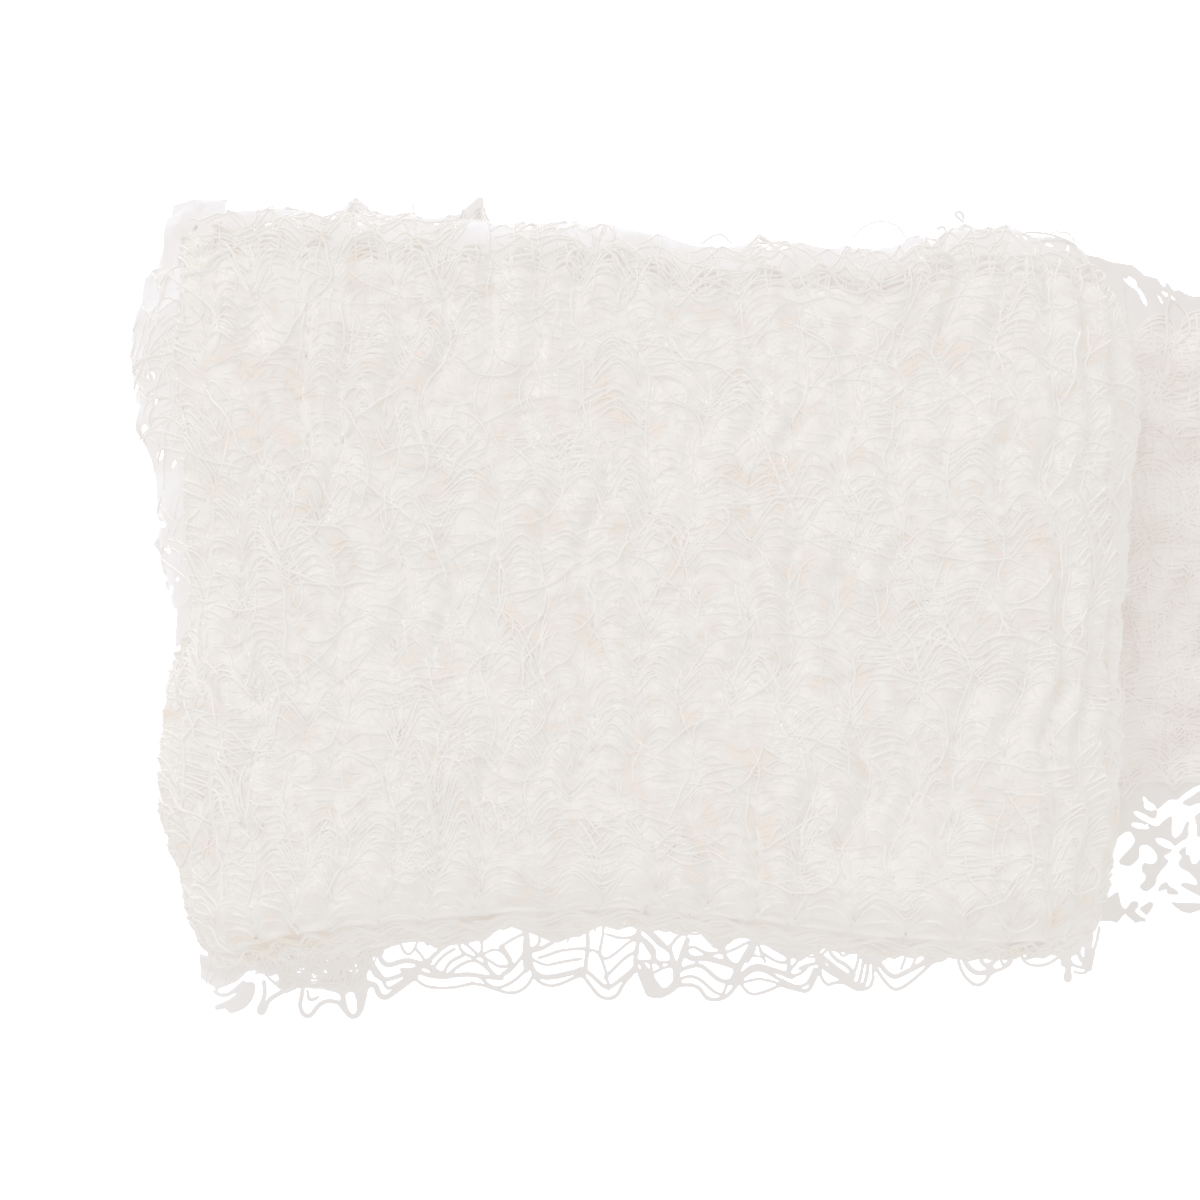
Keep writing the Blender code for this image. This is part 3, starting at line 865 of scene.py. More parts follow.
BACK_EDGE = np.array([
    # x, y of the torn edge at the back, with its pulled tips
    (-46.1, 35), (-45, 35.4), (-43.6, 35.2), (-43.3, 34.6), (-42.6, 35.3), (-41.5, 35.5), (-39.9, 34.6),
    (-37.8, 34.5), (-35.3, 35), (-34.6, 35.6), (-30.4, 33.7), (-27.7, 36.5), (-26.5, 35.5),
    (-26.1, 34.9), (-25.6, 35.2), (-25, 34.3), (-24, 34.3), (-22.6, 34.8), (-20.9, 33.9), (-19.5, 33.9),
    (-18.5, 34.7), (-17.6, 34.6), (-15.6, 36.3), (-15.1, 36.4), (-14.8, 35), (-14.2, 33.3),
    (-13.2, 33.2), (-11.4, 33.9), (-9.8, 33.4), (-7.3, 34), (-6.3, 33.9), (-5.7, 34.1), (-5.4, 33.3),
    (-3.7, 33), (-3.4, 33.7), (-0.9, 32.8), (2.3, 32.8), (3.5, 32.4), (4.9, 31.5), (6.1, 31.2),
    (9.8, 31), (12, 32.4), (12.3, 32.9), (13.8, 32.2), (16.2, 31.8), (19.2, 30.8), (20, 30.8),
    (20.7, 31.6), (21.6, 30.9), (22.3, 30.8), (24.1, 31.3), (25.5, 31), (26.5, 31.4), (27.1, 32.3),
    (28.2, 32.6), (29.5, 31.7), (30.4, 32), (31.1, 32.9), (32.9, 33.8), (34.4, 33.1), (35.8, 33.1),
    (37, 33.8), (38.8, 32.4), (43.2, 32.5), (45.2, 31.7), (45.9, 30.4), (46.8, 29.4),
])
BACK_HOLES = [
    # x, y, length, width, angle
    (-43.5, 33.1, 0.8, 0.4, 60), (-44.8, 32.3, 0.4, 0.3, 0), (-45.7, 34.6, 0.5, 0.5, 0),
    (-37.8, 32.5, 0.7, 0.4, 10), (-37.4, 32.2, 0.6, 0.3, 20), (-36.0, 32.9, 1.1, 0.3, 15),
    (-32.9, 32.8, 0.9, 0.3, 60), (-33.5, 34.1, 0.5, 0.3, 0), (-28.9, 34.1, 2.7, 0.5, 22),
    (-26.9, 33.3, 1.2, 0.5, 30), (-22.5, 34.4, 1.3, 0.3, -15), (-19.6, 33.2, 0.7, 0.3, 0),
    (-10.7, 32.8, 1.3, 0.5, 28), (12.9, 31.4, 2.1, 0.5, -58), (14.5, 31.9, 2.1, 0.7, 0),
    (14.7, 30.9, 0.8, 0.5, 0), (17.8, 31.2, 0.6, 0.3, -20), (29.4, 31.2, 1.3, 0.4, -30),
    (30.5, 32.7, 1.4, 0.7, 80), (38.2, 32.0, 1.6, 0.3, -12), (39.9, 32.2, 1.4, 0.3, 5),
    (41.1, 31.4, 0.9, 0.4, -10), (43.2, 31.4, 1.1, 0.4, 80), (42.2, 32.4, 0.9, 0.3, -20),
]
TAIL_BACK_EDGE = np.array([
    # x, y
    (45.5, 34.4), (48, 34), (49.2, 33.5), (50.2, 33.3), (51.5, 33.1), (52.1, 32.6), (52.8, 32),
    (54.3, 31.8), (55, 31.5), (55.9, 30.8), (56.9, 30.1), (57.7, 29.7), (63, 30.2), (68, 29.3),
    (74, 30.1), (80, 29.4), (86, 30.2), (92, 29.6),
])
TAIL_BACK_HOLES = [
    # x, y, length, width, angle
    (51.3, 31.1, 2.2, 0.3, -40), (51.5, 31.5, 1.2, 0.4, -42), (52.6, 29.5, 1.8, 0.4, -65),
    (54.7, 31.3, 1.0, 0.4, -50), (55.3, 29.9, 2.0, 0.4, -32), (54.4, 29.5, 1.1, 0.3, -65),
    (55.8, 30.7, 0.7, 0.3, -38),
]
TAIL_FRONT_EDGE = np.array([
    # x, y
    (45.5, -35.4), (46.3, -35.4), (47, -35.3), (48.2, -35.1), (49.1, -34.7), (49.7, -34), (50, -33.8),
    (50.6, -34.3), (51.4, -34.9), (51.9, -34.8), (52.3, -33.8), (53, -32.8), (54, -32.4), (54.8, -32.8),
    (55.8, -33.5), (56.6, -33.7), (58.1, -33.2), (62, -33.7), (66, -32.9), (70, -33.9), (75, -32.8),
    (80, -33.8), (86, -33), (92, -33.4),
])
TAIL_FRONT_HOLES = [
    # x, y, length, width, angle
    (49.5, -26.7, 3.3, 1.1, 50), (49.4, -27.6, 3.4, 0.9, 42), (49.2, -29.5, 2.9, 1.2, 8),
    (48.5, -30.9, 2.7, 1.6, 55), (52.4, -27.7, 2.2, 1.5, -50), (54.2, -23.3, 2.7, 1.1, 55),
    (55.6, -24.4, 3.3, 1.3, 75), (56.3, -23.5, 1.2, 0.9, 0), (52.0, -23.9, 2.3, 0.6, -28),
    (51.7, -24.8, 1.6, 0.5, -15), (52.6, -22.8, 1.2, 0.8, -15), (52.2, -22.2, 0.9, 0.3, -60),
    (54.0, -26.5, 1.7, 0.7, -28), (57.1, -21.3, 2.2, 0.6, 32), (57.5, -23.0, 1.3, 0.9, 30),
    (57.0, -25.0, 1.6, 0.7, 80), (56.7, -26.7, 1.6, 0.5, 70), (57.4, -27.4, 2.7, 1.1, 75),
    (55.8, -26.8, 1.6, 0.5, 42), (54.9, -27.9, 1.4, 0.6, 0), (54.4, -29.3, 2.7, 0.8, 45),
    (56.3, -29.9, 2.7, 0.8, -38), (55.2, -30.1, 1.6, 0.8, -25), (56.1, -31.5, 3.3, 0.6, -28),
    (53.6, -31.9, 1.7, 0.5, 45), (55.2, -32.2, 5.5, 0.8, -4), (51.2, -29.0, 1.3, 0.7, 60),
    (51.2, -30.2, 1.9, 1.2, 15), (51.2, -31.8, 1.6, 1.2, 0), (50.0, -32.3, 1.9, 0.9, 90),
    (52.5, -31.9, 2.9, 0.6, 48), (51.7, -33.8, 1.2, 0.5, -35), (48.4, -28.8, 1.2, 0.6, 20),
]
NET_DENSE = np.array([
    # x, y of the line where the open net starts at the front
    (-43.9, -40.3), (-42.2, -41.4), (-40.3, -40.6), (-38.8, -39.3), (-35.2, -41.7), (-33.3, -40.9),
    (-29.6, -41.9), (-27.8, -41.4), (-26.8, -39.3), (-26, -38), (-24.4, -36.8), (-22.4, -36.4),
    (-19.8, -37.2), (-18.8, -36.7), (-16.7, -36.7), (-14.7, -36.2), (-13.7, -35.2), (-12.1, -34.7),
    (-10.6, -35.2), (-9, -36.2), (-7.3, -36.5), (-2.4, -34.7), (-0.8, -34.4), (1.7, -35.9),
    (2.5, -35.1), (4.3, -35.1), (5.3, -36), (6.5, -35.4), (8.1, -37.2), (9.1, -37.5), (10.4, -35.7),
    (12, -35.9), (12.7, -36.7), (13.8, -37.1), (15.3, -38), (17.1, -38.5), (19.8, -36.7), (23.3, -37.8),
    (24.5, -37.8), (25.8, -37.5), (27.4, -37.5), (28.9, -36.8), (32.3, -38), (33.7, -37), (35.6, -36.8),
    (41.2, -37.8), (43.3, -36.5), (44.8, -38), (46.3, -36.2), (47.3, -35.3),
])
NET_HOLES = [
    # x, y, length, width, angle
    (-39.0, -40.4, 1.1, 0.7, 90), (-37.3, -40.4, 1.2, 0.9, -30), (-36.3, -40.2, 0.6, 0.6, 0),
    (-33.8, -39.5, 0.9, 0.6, 0), (-32.4, -40.4, 1.3, 0.6, 90), (-31.1, -38.8, 1.9, 0.8, 80),
    (-37.5, -37.1, 1.2, 0.6, -80), (-34.2, -36.8, 0.8, 0.6, 90), (-32.0, -36.9, 1.3, 0.6, -70),
    (-28.7, -37.5, 1.1, 0.5, 60), (-28.4, -39.1, 1.6, 0.8, 80), (-27.3, -39.7, 1.6, 0.8, 70),
    (-26.6, -40.4, 0.8, 0.5, 0), (-26.4, -38.2, 0.8, 0.4, 90), (-25.6, -39.0, 1.0, 0.6, -60),
    (-24.2, -38.0, 2.0, 0.9, 30), (-22.9, -36.9, 1.6, 0.8, 20), (-21.5, -37.4, 0.9, 0.5, 90),
    (-18.5, -35.9, 0.6, 0.4, -70), (-43.3, -37.7, 0.5, 0.4, 0),
]
NET_THREADS = [
    # radius in mm, then x, y of each place along the thread in tenths of a millimetre
    (0.2, -425, -416, -419, -420, -410, -419, -396, -407),
    (0.3, -422, -432, -408, -427, -396, -416, -390, -411),
    (0.42, -408, -434, -396, -430, -389, -420, -388, -411),
    (0.22, -375, -407, -374, -422, -381, -435, -378, -439, -374, -435, -371, -425, -358, -417,
     -345, -411, -334, -403),
    (0.2, -334, -399, -336, -416, -339, -432, -334, -441, -327, -441, -320, -430, -311, -425,
     -299, -427, -294, -433),
    (0.26, -296, -411, -294, -430, -290, -439, -284, -442, -278, -438, -276, -426, -271, -409),
    (0.45, -291, -405, -281, -411, -278, -420), (0.14, -331, -416, -329, -426, -320, -422),
    (0.16, -318, -409, -306, -407, -297, -411),
    (0.22, -271, -409, -262, -410, -259, -420, -251, -423, -243, -417, -230, -407, -221, -401),
    (0.2, -268, -384, -264, -399, -253, -405, -239, -401, -224, -395, -207, -386),
    (0.16, -272, -411, -268, -407, -261, -409, -258, -419, -253, -423, -246, -419, -235, -411,
     -223, -402),
    (0.15, -268, -381, -261, -394, -255, -401, -251, -414, -243, -411, -231, -403, -221, -395),
    (0.13, -223, -402, -215, -409, -206, -412, -192, -413, -176, -411, -164, -408),
    (0.22, -235, -394, -221, -395, -211, -399, -202, -401, -190, -401, -176, -399, -162, -399,
     -147, -402, -135, -402),
    (0.13, -164, -408, -155, -409, -143, -413, -127, -418, -117, -417, -107, -410, -103, -402),
    (0.13, -155, -402, -149, -408, -141, -413, -131, -411, -119, -404, -109, -394),
    (0.15, -137, -402, -125, -395, -115, -383, -109, -375),
    (0.2, -109, -373, -102, -375, -92, -372, -82, -366),
    (0.26, -106, -375, -105, -389, -100, -398, -92, -402, -78, -401, -66, -398, -54, -395),
    (0.13, -102, -399, -96, -407, -84, -411, -72, -408, -60, -402, -51, -400),
    (0.16, -51, -400, -43, -411, -35, -421, -25, -424, -16, -420, -11, -409, -2, -399, 2, -394),
    (0.18, -54, -394, -45, -397, -35, -407, -27, -413, -19, -409, -7, -399, 2, -392),
    (0.2, 2, -393, 10, -399, 14, -411, 20, -419, 28, -420),
    (0.14, 2, -385, 12, -390, 20, -403, 28, -413),
    (0.12, -104, -383, -98, -386, -88, -390, -72, -386, -53, -383),
    (0.13, -96, -382, -86, -379, -76, -375, -62, -373, -47, -373),
    (0.2, -47, -350, -46, -369, -48, -385, -49, -395),
    (0.13, -30, -350, -32, -365, -35, -377, -30, -389, -27, -401, -25, -413),
    (0.12, -47, -375, -38, -374, -29, -385, -15, -375, -5, -366, 4, -363, 10, -365),
    (0.15, -29, -402, -15, -388, -5, -379, 4, -376), (0.13, -27, -358, -11, -363, 2, -360, 7, -352),
    (0.2, 6, -346, 5, -365, 2, -381, 2, -393), (0.16, 10, -365, 18, -377, 23, -385, 28, -391),
    (0.3, -271, -356, -272, -385, -274, -411, -277, -431),
    (0.25, -261, -375, -255, -387, -248, -390, -235, -385, -225, -385, -211, -390, -194, -399),
    (0.12, -238, -365, -233, -377, -227, -379, -221, -371, -219, -361),
    (0.12, -221, -373, -215, -380, -211, -387), (0.2, -211, -387, -202, -379, -192, -370, -178, -364),
    (0.14, -205, -394, -194, -380, -182, -373),
    (0.14, -178, -364, -176, -375, -164, -382, -153, -379, -155, -363),
    (0.12, -173, -366, -164, -373, -159, -378), (0.15, -194, -400, -187, -386, -174, -380),
    (0.15, -191, -402, -178, -390, -164, -384, -155, -387, -143, -398),
    (0.14, -155, -377, -149, -389, -143, -399, -134, -403),
    (0.12, -155, -380, -143, -373, -134, -375, -126, -385, -127, -391, -137, -391, -145, -386,
     -152, -381),
    (0.15, -135, -371, -125, -364, -109, -356), (0.3, -109, -354, -108, -371),
    (0.13, -134, -370, -127, -379, -123, -387, -125, -394, -132, -397),
    (0.2, -109, -365, -111, -383, -109, -395), (0.15, -105, -350, -95, -359, -96, -369, -104, -374),
    (0.2, 7, -400, 12, -412, 15, -420, 24, -421, 36, -418, 47, -408),
    (0.17, 9, -391, 15, -404, 21, -414, 33, -415, 41, -408, 44, -400),
    (0.15, 7, -385, 19, -386, 33, -387, 40, -385), (0.13, 17, -386, 19, -398, 21, -412),
    (0.12, 21, -397, 33, -391, 42, -390), (0.15, 9, -352, 17, -359, 26, -369, 36, -374),
    (0.15, 7, -360, 16, -367, 23, -376, 19, -383), (0.12, 21, -358, 29, -366, 36, -373),
    (0.15, 35, -374, 41, -365, 48, -358, 56, -356), (0.22, 37, -373, 40, -384, 42, -394, 44, -403),
    (0.26, 55, -364, 50, -377, 46, -389, 44, -401),
    (0.3, 53, -377, 58, -383, 72, -382, 82, -384, 92, -387, 102, -390),
    (0.14, 55, -372, 63, -371, 70, -376, 80, -378, 91, -376),
    (0.13, 90, -377, 102, -374, 116, -366, 126, -362), (0.2, 90, -364, 91, -372, 93, -380, 98, -388),
    (0.14, 45, -406, 52, -401, 63, -401, 73, -408, 82, -417, 89, -419),
    (0.2, 44, -396, 56, -391, 67, -389, 75, -394, 84, -403, 94, -407, 104, -406),
    (0.18, 47, -410, 58, -409, 67, -412, 73, -422, 80, -425, 92, -423, 99, -417, 105, -409),
    (0.12, 96, -406, 91, -419), (0.3, 100, -406, 106, -394, 112, -383, 120, -370, 125, -360),
    (0.14, 109, -406, 112, -400, 123, -394, 133, -395, 143, -401, 153, -406),
    (0.24, 109, -402, 118, -392, 128, -390, 141, -394, 153, -398, 161, -401),
    (0.13, 109, -408, 116, -418, 126, -419, 140, -414, 150, -409),
    (0.12, 111, -407, 126, -403, 138, -405, 150, -409), (0.12, 124, -362, 123, -376, 116, -386),
    (0.12, 126, -362, 129, -375, 134, -386), (0.1, 120, -379, 130, -381),
    (0.22, 126, -362, 136, -367, 148, -374, 157, -378),
    (0.13, 129, -375, 138, -382, 148, -387, 158, -386), (0.2, 157, -377, 158, -391, 157, -400),
    (0.18, 148, -409, 158, -412, 169, -415, 177, -416, 182, -408, 188, -394),
    (0.14, 153, -406, 163, -411, 175, -410, 180, -403, 184, -393),
    (0.12, 160, -401, 168, -399, 175, -394, 177, -390), (0.13, 159, -394, 165, -388, 173, -375),
    (0.15, 169, -393, 177, -389, 188, -388, 185, -378, 178, -374),
    (0.14, 189, -393, 191, -403, 197, -410, 204, -407, 214, -407, 225, -414, 237, -414, 243, -408,
     244, -391),
    (0.26, 187, -385, 197, -394, 208, -401, 220, -405, 228, -412),
    (0.2, 186, -376, 196, -384, 208, -394, 221, -402),
    (0.2, 198, -372, 204, -383, 218, -390, 224, -400), (0.14, 229, -379, 226, -394, 220, -401),
    (0.16, 234, -381, 232, -396, 228, -410), (0.18, 239, -383, 237, -401, 233, -412),
    (0.12, 209, -372, 211, -381, 220, -377), (0.32, 234, -379, 245, -381, 254, -380),
    (0.15, 242, -385, 247, -394, 257, -408, 265, -415, 274, -412, 287, -402, 298, -392, 305, -385,
     317, -384, 319, -374),
    (0.24, 242, -379, 251, -389, 257, -397, 265, -402, 274, -398, 288, -391, 301, -384),
    (0.28, 234, -378, 254, -381), (0.12, 277, -380, 272, -393), (0.12, 287, -381, 283, -392),
    (0.6, 296, -375, 303, -379, 311, -376),
    (0.15, 329, -377, 331, -390, 337, -402, 348, -411, 357, -407, 363, -397, 372, -394, 383, -389,
     387, -377),
    (0.26, 334, -372, 336, -385, 344, -396, 354, -398, 365, -394),
    (0.22, 350, -369, 352, -383, 358, -391, 367, -386, 372, -375),
    (0.14, 373, -380, 375, -390, 381, -387, 382, -379),
    (0.13, 392, -372, 395, -384, 404, -390, 417, -390, 429, -384, 435, -377),
    (0.28, 435, -369, 437, -388), (0.26, 444, -369, 442, -392, 441, -402), (0.34, 441, -401, 441, -403),
    (0.2, 452, -365, 452, -380, 462, -392), (0.36, 460, -357, 462, -375, 462, -392),
    (0.13, 472, -352, 468, -375, 465, -389, 462, -393), (0.12, 465, -354, 462, -375),
    (0.14, 445, -388, 453, -392, 462, -391), (0.1, 448, -396, 453, -398, 459, -397),
]
BACK_THREADS = [
    # radius in mm, then x, y of each place along the thread in tenths of a millimetre
    (0.07, -377, 337, -367, 344, -357, 356), (0.06, -219, 356, -219, 348, -215, 340, -209, 338),
    (0.07, -231, 342, -223, 348, -217, 346), (0.08, 65, 312, 71, 320, 82, 326, 91, 324, 96, 312),
    (0.06, 217, 322, 226, 333, 244, 340, 262, 335, 269, 322),
    (0.14, 327, 338, 318, 346, 321, 349, 326, 348, 327, 341),
    (0.12, 300, 331, 305, 334, 309, 332, 308, 324, 300, 316),
    (0.1, 384, 322, 390, 326, 411, 327, 431, 323, 442, 319),
    (0.06, 413, 327, 422, 334, 432, 336, 438, 335, 439, 322), (0.09, 439, 329, 439, 319),
    (0.1, 422, 321, 417, 326),
]
RIGHT_THREADS = [
    # radius in mm, then x, y of each place along the thread in tenths of a millimetre
    (0.2, 469, -94, 471, -119, 472, -133, 477, -151, 479, -167, 472, -183),
    (0.17, 481, -115, 487, -118, 490, -127, 486, -147, 485, -165, 487, -186, 488, -193, 482, -201),
    (0.15, 467, -106, 464, -122, 458, -135, 454, -141), (0.15, 472, -133, 478, -147, 476, -160),
    (0.13, 466, -178, 471, -183, 480, -190, 482, -201, 476, -210),
]


# The webs' regions: low x, high x, low y, high y, cell.
LEFT_REGION = (-51.4, -40.6, -8.0, 36.8, 0.22)
BACK_REGION = (-47.0, 46.4, 23.0, 37.4, 0.22)
NET_REGION = (-44.6, 47.8, -44.9, -33.0, 0.14)
TAIL_FRONT_REGION = (42.4, 91.8, -34.6, -18.0, 0.2)
TAIL_BACK_REGION = (42.52, 91.8, 22.0, 35.0, 0.22)
LEFT_EDGE_HEIGHT = 14.3
LEFT_EDGE_SLOPE = 1.25
EDGE_SOFT = 0.35  # how wide the soft passage at a patch's edge is
NET_SOFT = 0.4


def edge_share(inside, soft):
    """A patch's part of the field from how far inside its edge a place is."""
    return np.clip(0.5 + inside / soft, 0, 1)


# Each patch is 1 inside its web's outline and 0 past it. Each height is that of the web at (x, y).
def left_patch(x, y):
    edge = at(LEFT_EDGE, y)
    return edge_share(x - edge, EDGE_SOFT) * (x < edge + 10)


def left_height(x, y):
    inside = x - at(LEFT_EDGE, y)
    high = top_at(x, y) - 0.55 - 0.15 * np.maximum(inside - 3, 0)
    low = LEFT_EDGE_HEIGHT + LEFT_EDGE_SLOPE * inside
    return np.minimum(low, high) + 0.2 * noise(x / 2.1, y / 2.6, 60)


def back_patch(x, y):
    inside = np.minimum(at(BACK_EDGE, x) - y, x - at(LEFT_EDGE, y))
    return edge_share(inside, EDGE_SOFT) * (y > at(ENDS, x, BACK) - 8.5)


def back_height(x, y):
    inside = at(ENDS, x, BACK) - y
    rough = dents(DENTS, x, y) + 0.2 * noise(x / 2.1, y / 2.6, 61)
    return top_at(x, y) - 0.45 - 0.25 * np.maximum(inside - 3.5, 0) + rough


def make_edges(finish):
    """The thin outer turn where it stands out past the roll: at the left side and at the back end."""
    make_web("left_edge", LEFT_REGION, left_patch, left_height, finish, LEFT_HOLES)
    make_web("back_edge", BACK_REGION, back_patch, back_height, finish, BACK_HOLES)


def make_edge_threads(finish):
    """Single yarns that stand out past the back end and along the right side."""
    bundles = []
    for thread in BACK_THREADS + RIGHT_THREADS:
        x, y = thread_path(thread).T[:, None]
        points = xyz(x, y, top_at(x, y) + 0.1)
        bundles.append((points, upright(points), np.full(x.shape, thread[0])))
    add_yarns("edge_threads", bundles, finish)


def net_patch(x, y):
    inside = np.minimum(y - at(NET_DENSE, x), at(ENDS, x, FRONT) + 0.5 - y)
    return edge_share(inside, NET_SOFT) * (x > -44) * (x < 46.8)


def net_height(x, y):
    """The net lies on the floor, and its dense part goes up the foot of the roll's front end."""
    foot = 1.5 * ease((y - at(ENDS, x, FRONT) + 1.0) / 1.2)
    return 0.3 + 0.12 * noise(x / 2.3, y / 1.7, 62) + foot


EDGE_CURLS = 300
EDGE_SEED = 805
FRONT_CURLS = 3000  # most of them fall outside the dense part and are left out
FRONT_SEED = 810
CURL_YARN = 0.14


def level_yarns(name, groups, finish, seed):
    """One piece of yarns that lie on level cloth."""
    bundles = []
    for points in groups:
        bundles.append((points, upright(points), yarn_radii(*points.shape[:2], CURL_YARN, seed)))
    add_yarns(name, bundles, finish)


def make_edge_curls(finish):
    """Short curly yarns on the thin outer turn, along the back end and the left side."""
    rng = np.random.default_rng(EDGE_SEED)
    x, inside, rise = curls(EDGE_CURLS, STRAY_STEPS, (-45, 0.9), (44, 6.5), 0.25, rng)
    x = np.clip(x, -46, 45)
    y = at(BACK_EDGE, x) - np.abs(inside)
    back = xyz(x, y, back_height(x, y) + 0.16 + rise)
    inside, y, rise = curls(EDGE_CURLS // 3, STRAY_STEPS, (0.7, -5), (5.5, 33), 0.6, rng)
    y = np.clip(y, -6, 34)
    x = at(LEFT_EDGE, y) + np.abs(inside)
    left = xyz(x, y, left_height(x, y) + 0.16 + rise)
    level_yarns("edge_curls", (back, left), finish, EDGE_SEED + 1)


def make_front_curls(finish):
    """Short curly yarns on the dense part of the net."""
    rng = np.random.default_rng(FRONT_SEED)
    x, y, rise = curls(FRONT_CURLS, STRAY_STEPS // 2 + 1, (-43.5, -42), (46, -34.5), 0.4, rng)
    dense = (y > at(NET_DENSE, x) - 0.3) & (y < at(ENDS, x, FRONT) + 1.2)
    points = xyz(x, y, net_height(x, y) + 0.2 + rise)[np.all(dense, axis=1)]
    level_yarns("front_curls", (points,), finish, FRONT_SEED + 1)


def make_net(finish):
    """The open strip of the outer ply at the front: a ragged dense part and the threads of its net."""
    piece = make_web("outer_ply_net", NET_REGION, net_patch, net_height, finish,
                     NET_HOLES, NET_THREADS)
    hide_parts("outer_ply")
    return piece


# ---------------- the loose end
EACH_TAIL_PLY = dict(from_s=40, to_s=91.5, wander=0.8, slack_from=NO_SLACK, front_bow=0.6, back_bow=0.6)
TAIL_PLIES = [
    dict(EACH_TAIL_PLY, name="loose_end_top_ply", lift=-0.08, warp=0.72, weft=1.3, step=0.55, front=14.0,
         back=61.5, seed=500, yarn=0.18, bow=1.1),
    dict(EACH_TAIL_PLY, name="loose_end_second_ply", lift=-0.15, warp=0.85, weft=1.5, step=0.62, front=15.0,
         back=60.5, seed=601, yarn=0.20, bow=0.9),
]
TAIL_STRAYS = 150
TAIL_STRAY_YARN = 0.17
TAIL_SEED = 803
HOLE_SEED = 64
TAIL_SHEET_X = (41, 91.6, 65)  # from, to and rows
TAIL_SHEET_Y = (-20.4, 26.0, 60)
TAIL_SHEET_DEPTH = 0.25  # how far the sheet lies under the loose end's upper surface
TAIL_SHEET_THICK = 0.7


def tail_place(x, c, lift):
    """Points of the loose end, and the directions up from it, from the distance across the gauze."""
    y = c - DEPTH / 2
    points = xyz(x, y, np.maximum(tail_top(x, y) + lift, YARN))
    return points, upright(points)


def tail_front_patch(x, y):
    inside = np.minimum(y - at(TAIL_FRONT_EDGE, x), -18.5 - y)
    return edge_share(inside, NET_SOFT)


def tail_front_height(x, y):
    return 0.5 + 0.25 * noise(x / 2.6, y / 2.1, 63) + 0.5 * ease((y + 24) / 5)


def tail_back_patch(x, y):
    inside = np.minimum(at(TAIL_BACK_EDGE, x) - y, y - 22.5)
    return edge_share(inside, NET_SOFT)


def tail_back_height(x, y):
    return tail_top(x, y) - 0.45


def unseen_holes():
    """Holes for the open strip past the photograph's right edge, at uneven places."""
    rng = np.random.default_rng(HOLE_SEED)
    holes = []
    for x in np.arange(59.5, 91.5, 2.5):
        for y in np.arange(-31.8, -21.0, 2.2):
            place = (x + rng.uniform(-0.7, 0.7), y + rng.uniform(-0.5, 0.5))
            size = (rng.uniform(1.2, 2.6), rng.uniform(0.7, 1.2))
            holes.append((*place, *size, rng.uniform(-70, 70)))
    return holes


def make_tail(body_painted_shade_finish, finish, web_painted_shade_finish):
    """The loose end: an opaque sheet of its inner plies, two plies of yarns over it, and two open edges."""
    along, across = np.meshgrid(np.linspace(*TAIL_SHEET_X), np.linspace(*TAIL_SHEET_Y), indexing="ij")
    height = tail_top(along, across) - TAIL_SHEET_DEPTH + 0.08 * noise(along / 1.2, across / 1.3, 65)
    upper = xyz(along, across, height)
    lower = upper.copy()
    lower[..., 2] = np.maximum(upper[..., 2] - TAIL_SHEET_THICK, LOWEST)
    ring = np.concatenate([upper, lower[:, ::-1]], axis=1)
    # The sheet under the loose end's yarns takes the body's cotton, with its painted shade.
    sheet = add_piece("loose_end_sheet", grid_mesh("loose_end_sheet", ring), body_painted_shade_finish)
    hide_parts("loose_end")
    made = []
    for ply in TAIL_PLIES:
        made.append(add_yarns(ply["name"], ply_bundles(tail_place, ply), finish))
    rng = np.random.default_rng(TAIL_SEED)
    s, c, rise = curls(TAIL_STRAYS, STRAY_STEPS, (48, 15), (90, 62), 0.4, rng)
    points, ups = tail_place(np.clip(s, 47, 91.5), c, 0.05 + rise)
    bundle = (points, ups, yarn_radii(*s.shape, TAIL_STRAY_YARN, TAIL_SEED + 1))
    made.append(add_yarns("loose_end_strays", [bundle], finish))
    # The open edges take the darker cotton with painted shade.
    made.append(make_web("loose_end_front_edge", TAIL_FRONT_REGION, tail_front_patch, tail_front_height,
                         web_painted_shade_finish, TAIL_FRONT_HOLES + unseen_holes()))
    made.append(make_web("loose_end_back_edge", TAIL_BACK_REGION, tail_back_patch, tail_back_height,
                         web_painted_shade_finish, TAIL_BACK_HOLES))
    return sheet, made


# ---------------- floor, light and camera, with lengths in metres
FLOOR_REACH = 1.5
FLOOR_LOOKS = {
    "Base Color": (0.95, 0.95, 0.95, 1),
    "Roughness": 0.9,
    "Specular IOR Level": 0.1,
    "Emission Color": (1, 1, 1, 1),
    "Emission Strength": 0.60,  # the floor is a lit white table, which leaves almost no shadow
}
SKY_STRENGTH = 0.44
LAMP_COLOUR = (1.0, 0.985, 0.965)
LAMPS = [
    # name, place, size and power
    ("key", (-0.28, 0.5, 0.75), 0.5, 4.2),
    ("fill", (0.7, -0.1, 0.5), 0.6, 0.5),
]


def make_floor():
    """A plain pale floor."""
    mesh = bpy.data.meshes.new("floor")
    corners = [(-FLOOR_REACH, -FLOOR_REACH, 0), (FLOOR_REACH, -FLOOR_REACH, 0),
               (FLOOR_REACH, FLOOR_REACH, 0), (-FLOOR_REACH, FLOOR_REACH, 0)]
    mesh.from_pydata(corners, [], [(0, 1, 2, 3)])
    white, _ = new_material("floor_white", FLOOR_LOOKS)
    mesh.materials.append(white)
    floor = add_object("floor", mesh)
    return floor


def area_light(name, place, size, power):
    """A soft square lamp at place, turned towards the middle of the frame."""
    data = bpy.data.lights.new(name, "AREA")
    data.shape = "SQUARE"
    data.size = size
    data.energy = power
    data.color = LAMP_COLOUR
    lamp = add_object(name, data)
    lamp.location = place
    lamp.rotation_euler = (-Vector(place)).to_track_quat("-Z", "Y").to_euler()


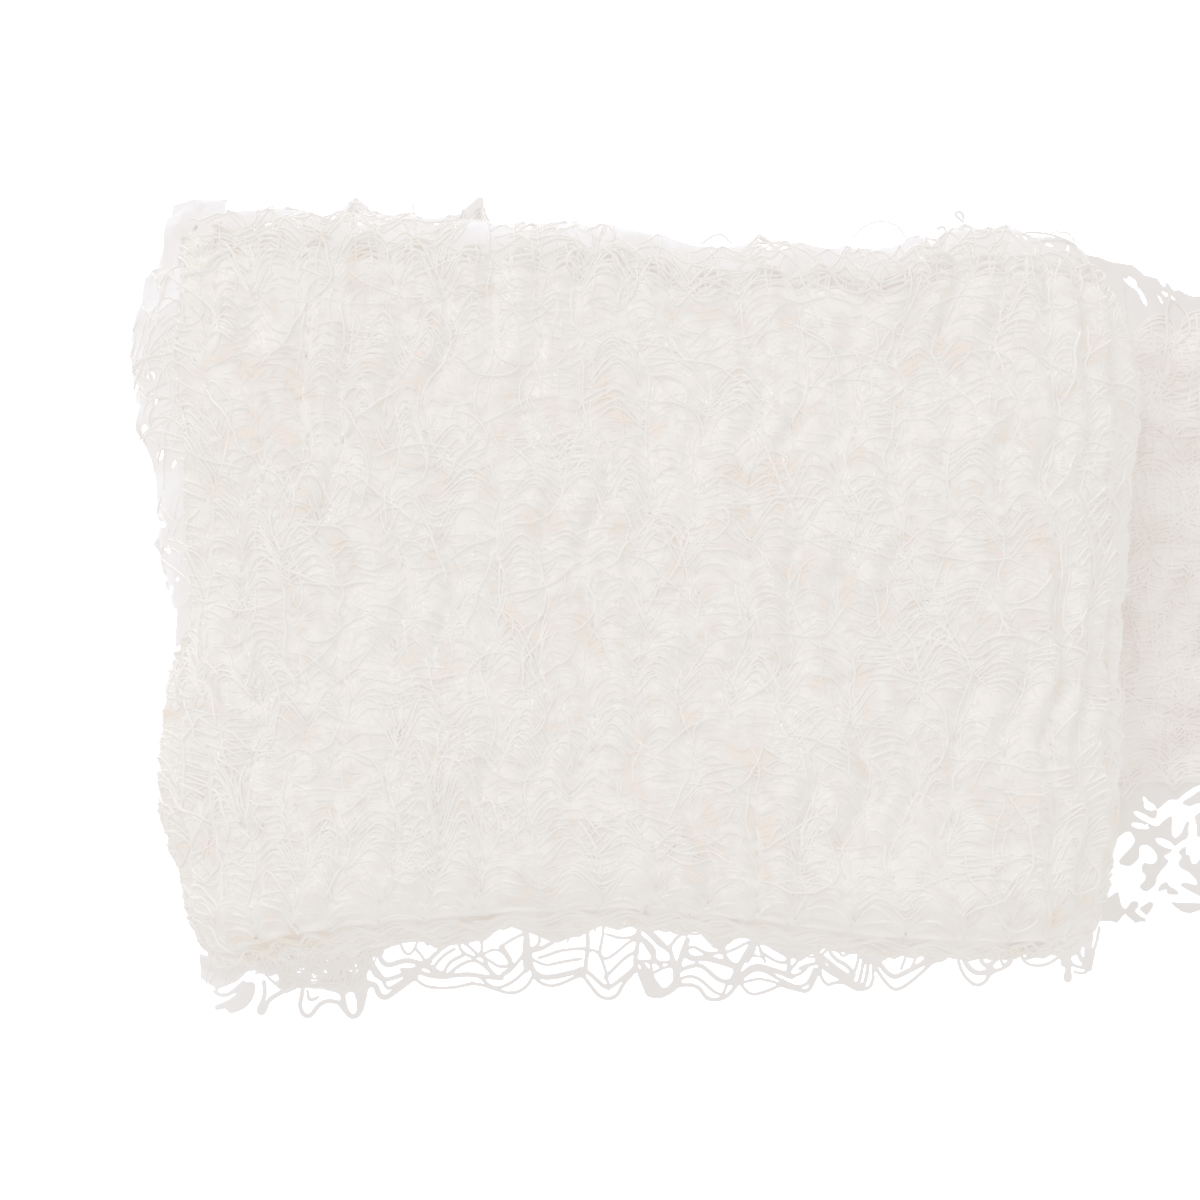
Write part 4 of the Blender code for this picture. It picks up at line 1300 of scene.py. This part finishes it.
def make_light():
    """Bright even light from all round, with a soft lamp behind to the left and a weak one to the right."""
    world = bpy.data.worlds.new("studio")
    world.use_nodes = True
    sky = world.node_tree.nodes["Background"]
    sky.inputs["Color"].default_value = (1, 1, 1, 1)
    sky.inputs["Strength"].default_value = SKY_STRENGTH
    bpy.context.scene.world = world
    for lamp in LAMPS:
        area_light(*lamp)


CAMERA_DISTANCE = 0.45
CAMERA_ELEVATION = 83  # in degrees
CAMERA_AIM = (-3.4, -3.0, MIDDLE)  # in millimetres
VIEW_WIDTH = 0.12  # how much the picture takes in at half the roll's height
SENSOR = 36


def make_camera():
    """The photograph's view: from almost straight above, a little to the front."""
    data = bpy.data.cameras.new("camera")
    data.sensor_width = SENSOR
    data.sensor_fit = "HORIZONTAL"
    data.lens = SENSOR * CAMERA_DISTANCE / VIEW_WIDTH
    data.clip_start = 0.01
    data.clip_end = 10
    camera = add_object("camera", data)
    aim = Vector(CAMERA_AIM) * MM
    tilt = math.radians(CAMERA_ELEVATION)
    away = Vector((0, -math.cos(tilt), math.sin(tilt)))
    camera.location = aim + away * CAMERA_DISTANCE
    camera.rotation_euler = (-away).to_track_quat("-Z", "Y").to_euler()
    bpy.context.scene.camera = camera


# The picture's tone: a high-key exposure, which keeps only a little contrast in the whites and
# warms what is less than white.
TONE = [
    # light in, red out, green out, blue out
    (0.0, 0.58, 0.53, 0.49), (0.1, 0.67, 0.62, 0.58), (0.2, 0.725, 0.68, 0.645),
    (0.3, 0.758, 0.726, 0.692), (0.4, 0.782, 0.753, 0.724), (0.5, 0.802, 0.776, 0.748),
    (0.6, 0.826, 0.798, 0.776), (0.7, 0.853, 0.827, 0.806), (0.8, 0.886, 0.861, 0.843),
    (0.9, 0.94, 0.93, 0.92), (0.97, 0.998, 0.997, 0.996), (1.0, 1.0, 1.0, 1.0),
]
LIGHT_BOUNCES = 16


def set_tone():
    """White cloth on a white ground: light that bounces deep into the weave, and a high-key tone."""
    scene = bpy.context.scene
    scene.cycles.diffuse_bounces = LIGHT_BOUNCES
    scene.cycles.max_bounces = LIGHT_BOUNCES
    scene.view_settings.view_transform = "Standard"
    scene.view_settings.use_curve_mapping = True
    mapping = scene.view_settings.curve_mapping
    mapping.extend = "HORIZONTAL"
    for channel in range(3):
        points = mapping.curves[channel].points
        for row in TONE[1:-1]:
            points.new(row[0], row[channel + 1])
        points[0].location = TONE[0][0], TONE[0][channel + 1]
        for point in points:
            point.handle_type = "AUTO_CLAMPED"
    mapping.update()


def main():
    finishes = [cotton(name, **looks) for name, looks in CLOTHS.items()]
    # The body's cotton and the loose end's two cottons carry painted shade.
    body, yarn, strand, edge, web, tail_part_painted_shade, tail_web_painted_shade = finishes
    make_body(body)
    make_plies(yarn)
    make_turns(yarn)
    make_strays(strand)
    make_edges(edge)
    make_edge_threads(edge)
    make_edge_curls(strand)
    make_front_curls(strand)
    sheet, over_it = make_tail(body, tail_part_painted_shade, tail_web_painted_shade)
    net = make_net(web)
    floor = make_floor()
    make_light()
    make_camera()
    set_tone()


main()
